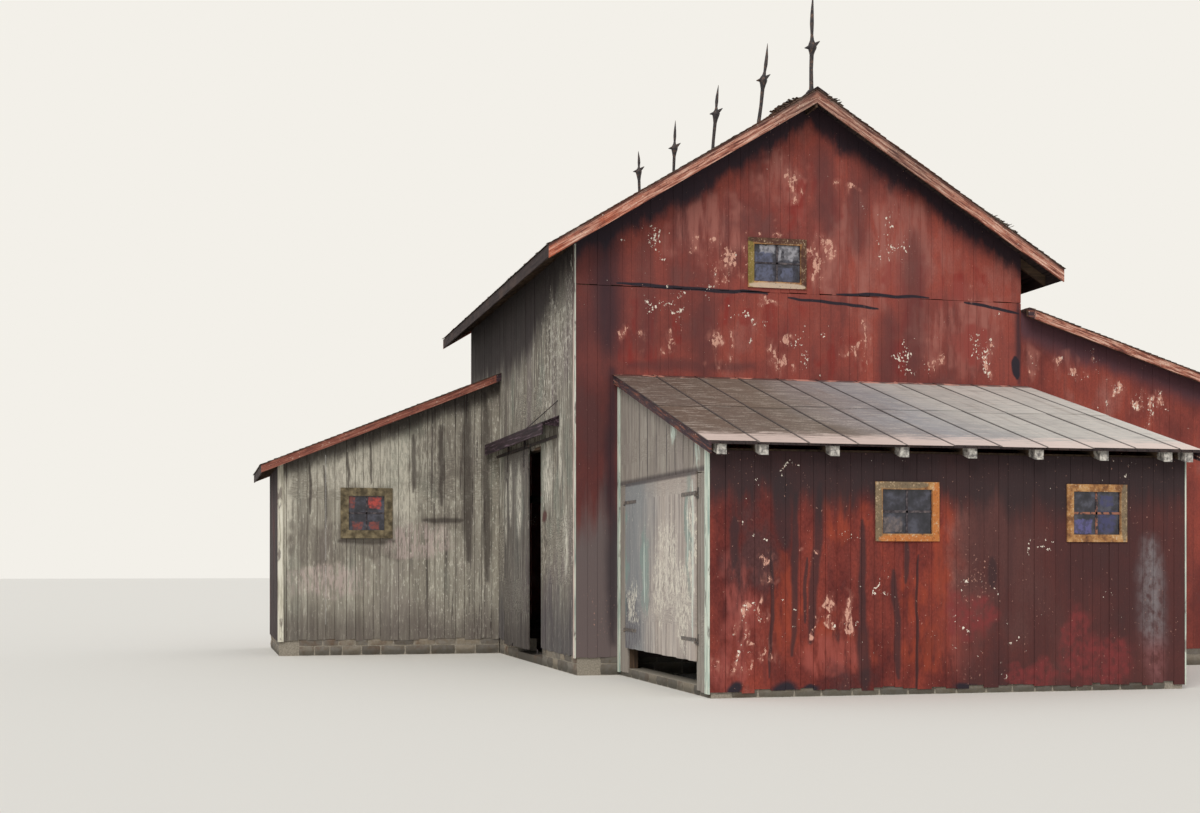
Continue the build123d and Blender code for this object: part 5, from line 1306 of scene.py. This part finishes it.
def glass_finish():
    """Dark old glass with painted reflections: dull pale and blue ones in some panes, red ones in the left lean-to, and
    a few dark patches.
    """
    finish = Finish("old window glass", roughness=0.12, shine=0.5)
    clouds = finish.noise((5, 5, 5), detail=4)
    body = finish.ramp(clouds, (0.38, paint(32, 32, 40)), (0.5, paint(48, 47, 56)), (0.62, paint(74, 74, 86)))
    dusty = finish.sum(finish.product(finish.band(finish.noise((14, 14, 14), detail=4), 0.4, 0.58), 0.6), 0.35)
    # Painted reflections in the panes, and a few darker patches.
    for colour, panes in pane_reflections_and_dark_patches:
        body = finish.blend(finish.product(finish.panes(panes), dusty), body, colour)
    return finish.done(body, clouds, 0.004)


def bar_tree():
    """Two thin bars that cross over a sheet of glass, standing in both its faces."""
    tree, given = new_tree("window bars", Bar=0.034, Depth=0.024, Material=None)
    box = tree.nodes.new("GeometryNodeBoundBox")
    tree.links.new(given["Solid"], box.inputs[0])
    low, high = box.outputs["Min"], box.outputs["Max"]
    size = vector(tree, "SUBTRACT", high, low)
    centre = scaled(tree, vector(tree, "ADD", low, high), 0.5)
    split = tree.nodes.new("ShaderNodeSeparateXYZ")
    tree.links.new(size, split.inputs[0])
    joined = tree.nodes.new("GeometryNodeJoinGeometry")
    for wide, tall in ((given["Bar"], split.outputs["Z"]), (split.outputs["X"], given["Bar"])):
        bar = add_node(tree, "ShaderNodeCombineXYZ", {"X": wide, "Y": given["Depth"], "Z": tall})
        shape = add_node(tree, "GeometryNodeMeshCube", {"Size": bar})
        moved = add_node(tree, "GeometryNodeTransform", {"Geometry": shape, "Translation": centre})
        tree.links.new(moved, joined.inputs[0])
    end_tree(tree, joined.outputs[0], given["Material"])
    return tree


casing_colour_strokes = (
    (paint(120, 108, 88), ((-0.88, 2.25, -0.88, 3.15, 0.07), (-0.88, 3.11, -0.1, 3.11, 0.06), (3.19, 2.3, 3.19, 3.15, 0.06))),
    (paint(192, 116, 60), ((0.05, 2.28, 0.05, 3.12, 0.075), (-0.85, 2.31, 0.05, 2.31, 0.06))),
    (paint(132, 118, 62), ((-1.06, 6.88, -1.06, 7.74, 0.07),)),
    (paint(66, 42, 42), ((-1.1, 7.72, 0.0, 7.72, 0.07), (-0.04, 6.9, -0.04, 7.7, 0.08))),
    (paint(206, 186, 164), ((-1.08, 6.9, -0.05, 6.9, 0.055),)),
)
pane_reflections_and_dark_patches = (
    (paint(156, 154, 160), ((-0.34, 7.5, 0.19, 0.13), (-0.74, 7.56, 0.14, 0.07))),
    (paint(88, 92, 116), ((-0.8, 7.34, 0.16, 0.16), (-0.78, 7.1, 0.18, 0.12), (-0.36, 7.12, 0.18, 0.12))),
    (paint(30, 27, 40), ((-0.55, 7.14, 0.07, 0.14), (-0.2, 7.2, 0.05, 0.24), (-0.44, 7.46, 0.02, 0.12))),
    (paint(112, 100, 98), ((-0.63, 2.52, 0.15, 0.11),)),
    (paint(88, 84, 134), ((2.5, 2.51, 0.15, 0.11),)),
    (paint(60, 60, 98), ((2.9, 2.58, 0.15, 0.16), (2.9, 2.9, 0.1, 0.08))),
    (paint(184, 66, 56), ((-6.93, 3.24, 0.13, 0.12),)),
    (paint(134, 64, 56), ((-7.42, 3.25, 0.06, 0.12), (-7.3, 2.75, 0.11, 0.09), (-6.95, 2.76, 0.11, 0.08))),
)
crossing = bar_tree()
bar_material = bar_finish()
bars = [
    grow(f"bars_{place}", crossing, box_mesh(low, high), Material=bar_material)
    for place, (low, high) in enumerate(blocks_of("window_glass"))
]
fit(join_pieces("window_bars", bars), "barn", "casing")
dress(casing_finish(), "window_frames")
dress(glass_finish(), "window_glass")


# Doors
# Ledged and braced leaves of upright boards. The shed's pair hangs on iron straps and stands well
# off the ground; the tall wagon door slides on a rail.
def door_finish():
    """Pinkish grey towards the front, blue-grey at the back, with worn pale streaks, a dark corner and a painted shadow
    along the heads.
    """
    finish = Finish("bare door boards", roughness=0.85)
    tone = finish.tone()
    streaks = finish.noise((9, 9, 0.6), detail=6, roughness=0.65, shift=tone)
    body = finish.ramp(streaks, (0.36, paint(150, 141, 136)), (0.5, paint(182, 172, 164)), (0.62, paint(202, 192, 182)))
    own = finish.ramp(tone, (0.0, paint(234, 230, 228)), (1.0, paint(255, 255, 255)))
    body = finish.blend(0.8, body, own, "MULTIPLY")
    clouds = finish.noise((0.9, 0.9, 0.5), detail=5)
    rear = finish.band(finish.sum(finish.y, finish.product(clouds, 1.8)), -1.9, -0.5)
    body = finish.blend(finish.product(rear, 0.75), body, paint(124, 130, 134))
    mint = finish.product(finish.spots(door_mint, sideways=True), finish.sum(finish.product(weave_of(finish), 0.4), 0.4))
    body = finish.blend(finish.product(mint, 0.8), body, paint(126, 154, 146))
    body = finish.blend(finish.product(finish.strokes(door_stripes, sideways=True, softness=0.5), 0.7), body, paint(206, 218, 208))
    corner = finish.product(finish.spots(door_corner, sideways=True), finish.sum(finish.product(weave_of(finish), -0.6), 1.0))
    body = finish.blend(finish.product(corner, 0.75), body, paint(84, 76, 84))
    worn = finish.noise((34, 34, 11), detail=4, roughness=0.7)
    thick = finish.spots(door_flecks, sideways=True, ragged=0.9)
    pale = finish.band(finish.sum(worn, finish.product(thick, 0.14)), 0.62, 0.7)
    body = finish.blend(finish.product(pale, 0.8), body, paint(232, 226, 210))
    # Painted shadow along the doors' heads.
    head_shadow = finish.product(finish.band(finish.z, 3.23, 3.27), 0.75)
    body = finish.blend(head_shadow, body, paint(70, 62, 64))
    inner = finish.ramp(streaks, (0.36, paint(84, 68, 56)), (0.5, paint(116, 98, 82)), (0.64, paint(148, 130, 110)))
    body = finish.blend(finish.band(finish.x, leaf_inside - 0.006, leaf_inside - 0.002), body, inner)
    return finish.done(body, finish.sum(streaks, worn), 0.004)


def ledges_of(node, board_side):
    """The ledges and braces of a door leaf: all of its solid that lies inside the boards."""
    shape = bmesh.new()
    shape.from_mesh(solid_mesh(node))
    cut = {"plane_co": (board_side, 0, 0), "plane_no": (1, 0, 0)}
    everything = shape.verts[:] + shape.edges[:] + shape.faces[:]
    bmesh.ops.bisect_plane(shape, geom=everything, clear_inner=True, **cut)
    bmesh.ops.holes_fill(shape, edges=[edge for edge in shape.edges if edge.is_boundary])
    mesh = bpy.data.meshes.new(f"{node} ledges")
    shape.to_mesh(mesh)
    shape.free()
    return mesh


def door(node, body, thickness, material, seed):
    """One leaf: boards on the outside, ledges and braces on the inside."""
    low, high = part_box(node)
    inside = Vector((low.x + thickness, high.y, high.z))
    face = grow(
        f"{node}_face", planks, box_mesh(low, inside), Along=along_y, Outward=to_left, Material=material,
        Seed=seed, Gap=0.006, Unevenness=0.0, Warp=0.0, Foot=0.012, Width=0.2,
    )
    ledges = bpy.data.objects.new(f"{node}_ledges", ledges_of(node, inside.x + 0.0002))
    return fit(join_pieces(f"{node}_boards", [face, ledges]), body, "door_boards", node)


def wagon_door_stains(finish, body):
    """Darker than the wall, with pale worn streaks in the middle and a sooty foot."""
    body = finish.blend(0.42, body, paint(64, 61, 66))
    worn = finish.product(finish.strokes(wagon_door_worn, sideways=True, softness=0.8), weave_of(finish))
    body = finish.blend(finish.product(worn, 0.85), body, pale_grain_and_highlight)
    foot = finish.band(finish.sum(finish.z, finish.noise((1.5, 1.5, 0.6))), 1.8, 0.9)
    return finish.blend(finish.product(foot, 0.6), body, soot_and_shade)


door_mint = ((-1.85, 1.8, 0.2, 0.75), (-0.5, 1.9, 0.22, 1.2), (-4.2, 2.4, 0.15, 0.8))
door_stripes = ((-4.45, 3.15, -4.47, 0.8, 0.05), (-4.2, 2.9, -4.2, 1.9, 0.025), (-1.8, 2.3, -1.82, 1.3, 0.03))
door_corner = ((-0.85, 0.95, 0.65, 0.5),)
door_flecks = ((-3.1, 1.9, 0.6, 0.8), (-2.7, 1.5, 0.3, 0.6), (-3.9, 1.3, 0.4, 0.7), (-4.4, 2.0, 0.2, 1.0), (-1.0, 1.2, 0.4, 0.4))
wagon_door_worn = ((4.7, 3.8, 4.7, 2.6, 0.25), (5.6, 4.0, 5.6, 2.8, 0.14), (6.1, 3.6, 6.1, 2.4, 0.1))
leaf_thickness = 0.028
leaf_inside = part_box("shed_door_front")[0].x + leaf_thickness
door_material = door_finish()
wagon_material = grey_finish("bare boards of the wagon door", wagon_door_stains)
door("shed_door_front", "shed_door_front_leaf", leaf_thickness, door_material, 41)
door("shed_door_rear", "shed_door_rear_leaf", leaf_thickness, door_material, 42)
door("wagon_door", "wagon_door_leaf", 0.03, wagon_material, 43)


# Hood over the wagon door's rail
# Tarred boards on brackets, laid lengthways with their edges lapped, two more hung along the
# outer edge, and an iron stay from the top of the hood to the wall.
def tar_finish():
    finish = Finish("tarred hood boards", roughness=0.75)
    grain = finish.noise((30, 1.4, 30), detail=6, roughness=0.65)
    body = finish.ramp(grain, (0.4, paint(30, 22, 28)), (0.55, paint(54, 38, 44)), (0.66, paint(112, 94, 106)))
    return finish.done(body, grain, 0.005)


tar_material = tar_finish()
low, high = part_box("track_hood")
hood_pitch = 0.14 / 0.31
fascia_depth = 0.23
fascia_board = 0.018
hood = coat(
    "hood_top", tar_material, low, high, to_left, hood_pitch, Course=0.118, Piece=0.15, Width=2.9,
    Thickness=0.016, Fall=0.006, Gap=0.008, Stagger=0.4, Curl=0.01, Seed=45,
)
fascia_top = low.z + 0.035
fascia = grow(
    "hood_fascia", slope_courses, box_mesh(low, high), Origin=(low.x - fascia_board, low.y, fascia_top),
    Down=(0.0, 0.0, -1.0), Along=along_y, Normal=to_left, Reach=fascia_depth, Length=high.y - low.y,
    Course=fascia_depth / 2, Piece=fascia_depth / 2 + 0.02, Width=2.4, Thickness=fascia_board, Fall=0.006,
    Gap=0.01, Stagger=0.5, Curl=0.03, Seed=46, Material=tar_material,
)
fit(join_pieces("hood_boards", [hood, fascia]), "barn", "dark_wood", "track_hood")
dress(tar_material, "hood_brackets")


# Lightning rods
# Five forged iron rods along the ridge, each with a swollen boss and short bent arms below a long
# point, standing on an iron saddle bent over the ridge boards.
def iron_finish(name, dark, middle, rust):
    finish = Finish(name, roughness=0.6, shine=0.5)
    blotches = finish.noise((18, 18, 18), detail=5)
    fine = finish.noise((120, 120, 120), detail=2)
    body = finish.ramp(blotches, (0.4, dark), (0.54, middle), (0.66, rust))
    finish.shader.inputs["Metallic"].default_value = 0.3
    return finish.done(body, fine, 0.001)


def forged_bars(name, material, bars):
    """Round bars of changing thickness: each is a list of places, every one with its radius."""
    line = bpy.data.curves.new(name, "CURVE")
    line.dimensions = "3D"
    line.bevel_depth = 1.0
    line.bevel_resolution = 2
    line.use_fill_caps = True
    for bar in bars:
        spline = line.splines.new("POLY")
        spline.points.add(len(bar) - 1)
        for point, (place, radius) in zip(spline.points, bar):
            point.co = (*place, 1)
            point.radius = radius
    drawn = bpy.data.objects.new(name, line)
    bpy.context.scene.collection.objects.link(drawn)
    graph = bpy.context.evaluated_depsgraph_get()
    mesh = bpy.data.meshes.new_from_object(drawn.evaluated_get(graph))
    bpy.data.objects.remove(drawn)
    mesh.materials.clear()
    mesh.materials.append(material)
    piece = bpy.data.objects.new(name, mesh)
    bpy.context.scene.collection.objects.link(piece)
    return piece


def rod_bars(low, high, lean, boss_height):
    """Shaft with its boss and spear-like blade, two stubby arms, and the saddle's two plates."""
    y = (low.y + high.y) / 2
    foot = Vector((0, y, low.z + rod_foot_height))
    upward = Vector((math.tan(math.radians(lean)), 0, 1))
    boss = foot + upward * boss_height
    point = foot + upward * (high.z - foot.z)
    shaft = []
    for start, end, stations in ((foot, boss, below_boss), (boss, point, above_boss)):
        for share, radius in stations:
            bend = rod_bend * math.sin(math.pi * share) * math.sin(3 * y)
            shaft.append((start.lerp(end, share) + Vector((bend, -bend, 0)), radius))
    arms = []
    for side in (-1, 1):
        arms.append([(boss + Vector((side * reach, 0, (side * 0.5 + 0.3) * reach)), radius) for reach, radius in arm])
    saddle = []
    for side in (-1, 1):
        end = Vector((side * 0.1, y, low.z + 0.005))
        middle = (foot + end) / 2 + Vector((0, 0, 0.006))
        saddle.append([(foot + Vector((0, 0, 0.01)), 0.038), (middle, 0.03), (end, 0.012)])
    return [shaft, *arms, *saddle]


rod_leans = (1, 7, 5, 2, -1)
boss_heights = (0.78, 1.04, 1.16, 1.14, 1.28)
rod_foot_height = 0.06
rod_bend = 0.012
below_boss = ((0.0, 0.046), (0.1, 0.038), (0.5, 0.034), (0.82, 0.038), (0.9, 0.056), (0.96, 0.076))
above_boss = ((0.0, 0.082), (0.06, 0.062), (0.13, 0.036), (0.22, 0.026), (0.42, 0.036), (0.62, 0.03), (1.0, 0.004))
arm = ((0.0, 0.04), (0.07, 0.034), (0.11, 0.02), (0.145, 0.006))
black_iron = iron_finish("black iron", paint(40, 38, 42), paint(62, 54, 54), paint(104, 80, 66))
rods = []
rod_blocks = sorted(blocks_of("lightning_rods"), key=lambda box: box[0].y)
for lean, boss_height, (low, high) in zip(rod_leans, boss_heights, rod_blocks):
    rods += rod_bars(low, high, lean, boss_height)
fit(forged_bars("forged_lightning_rods", black_iron, rods), "barn", "iron", "lightning_rods")


# Door ironwork
# The wagon door's hangers, rail and guides and the hood's stay are black iron with a skin of rust.
# The shed's straps and pins have worn as grey as the boards.
grey_iron = iron_finish("worn grey iron", paint(84, 80, 78), paint(112, 106, 102), paint(136, 122, 110))
dress(black_iron, "wagon_door_hangers", "wagon_door_rail", "wagon_door_guides", "hood_stay")
dress(grey_iron, "shed_door_front_straps", "shed_door_rear_straps", "pintles")
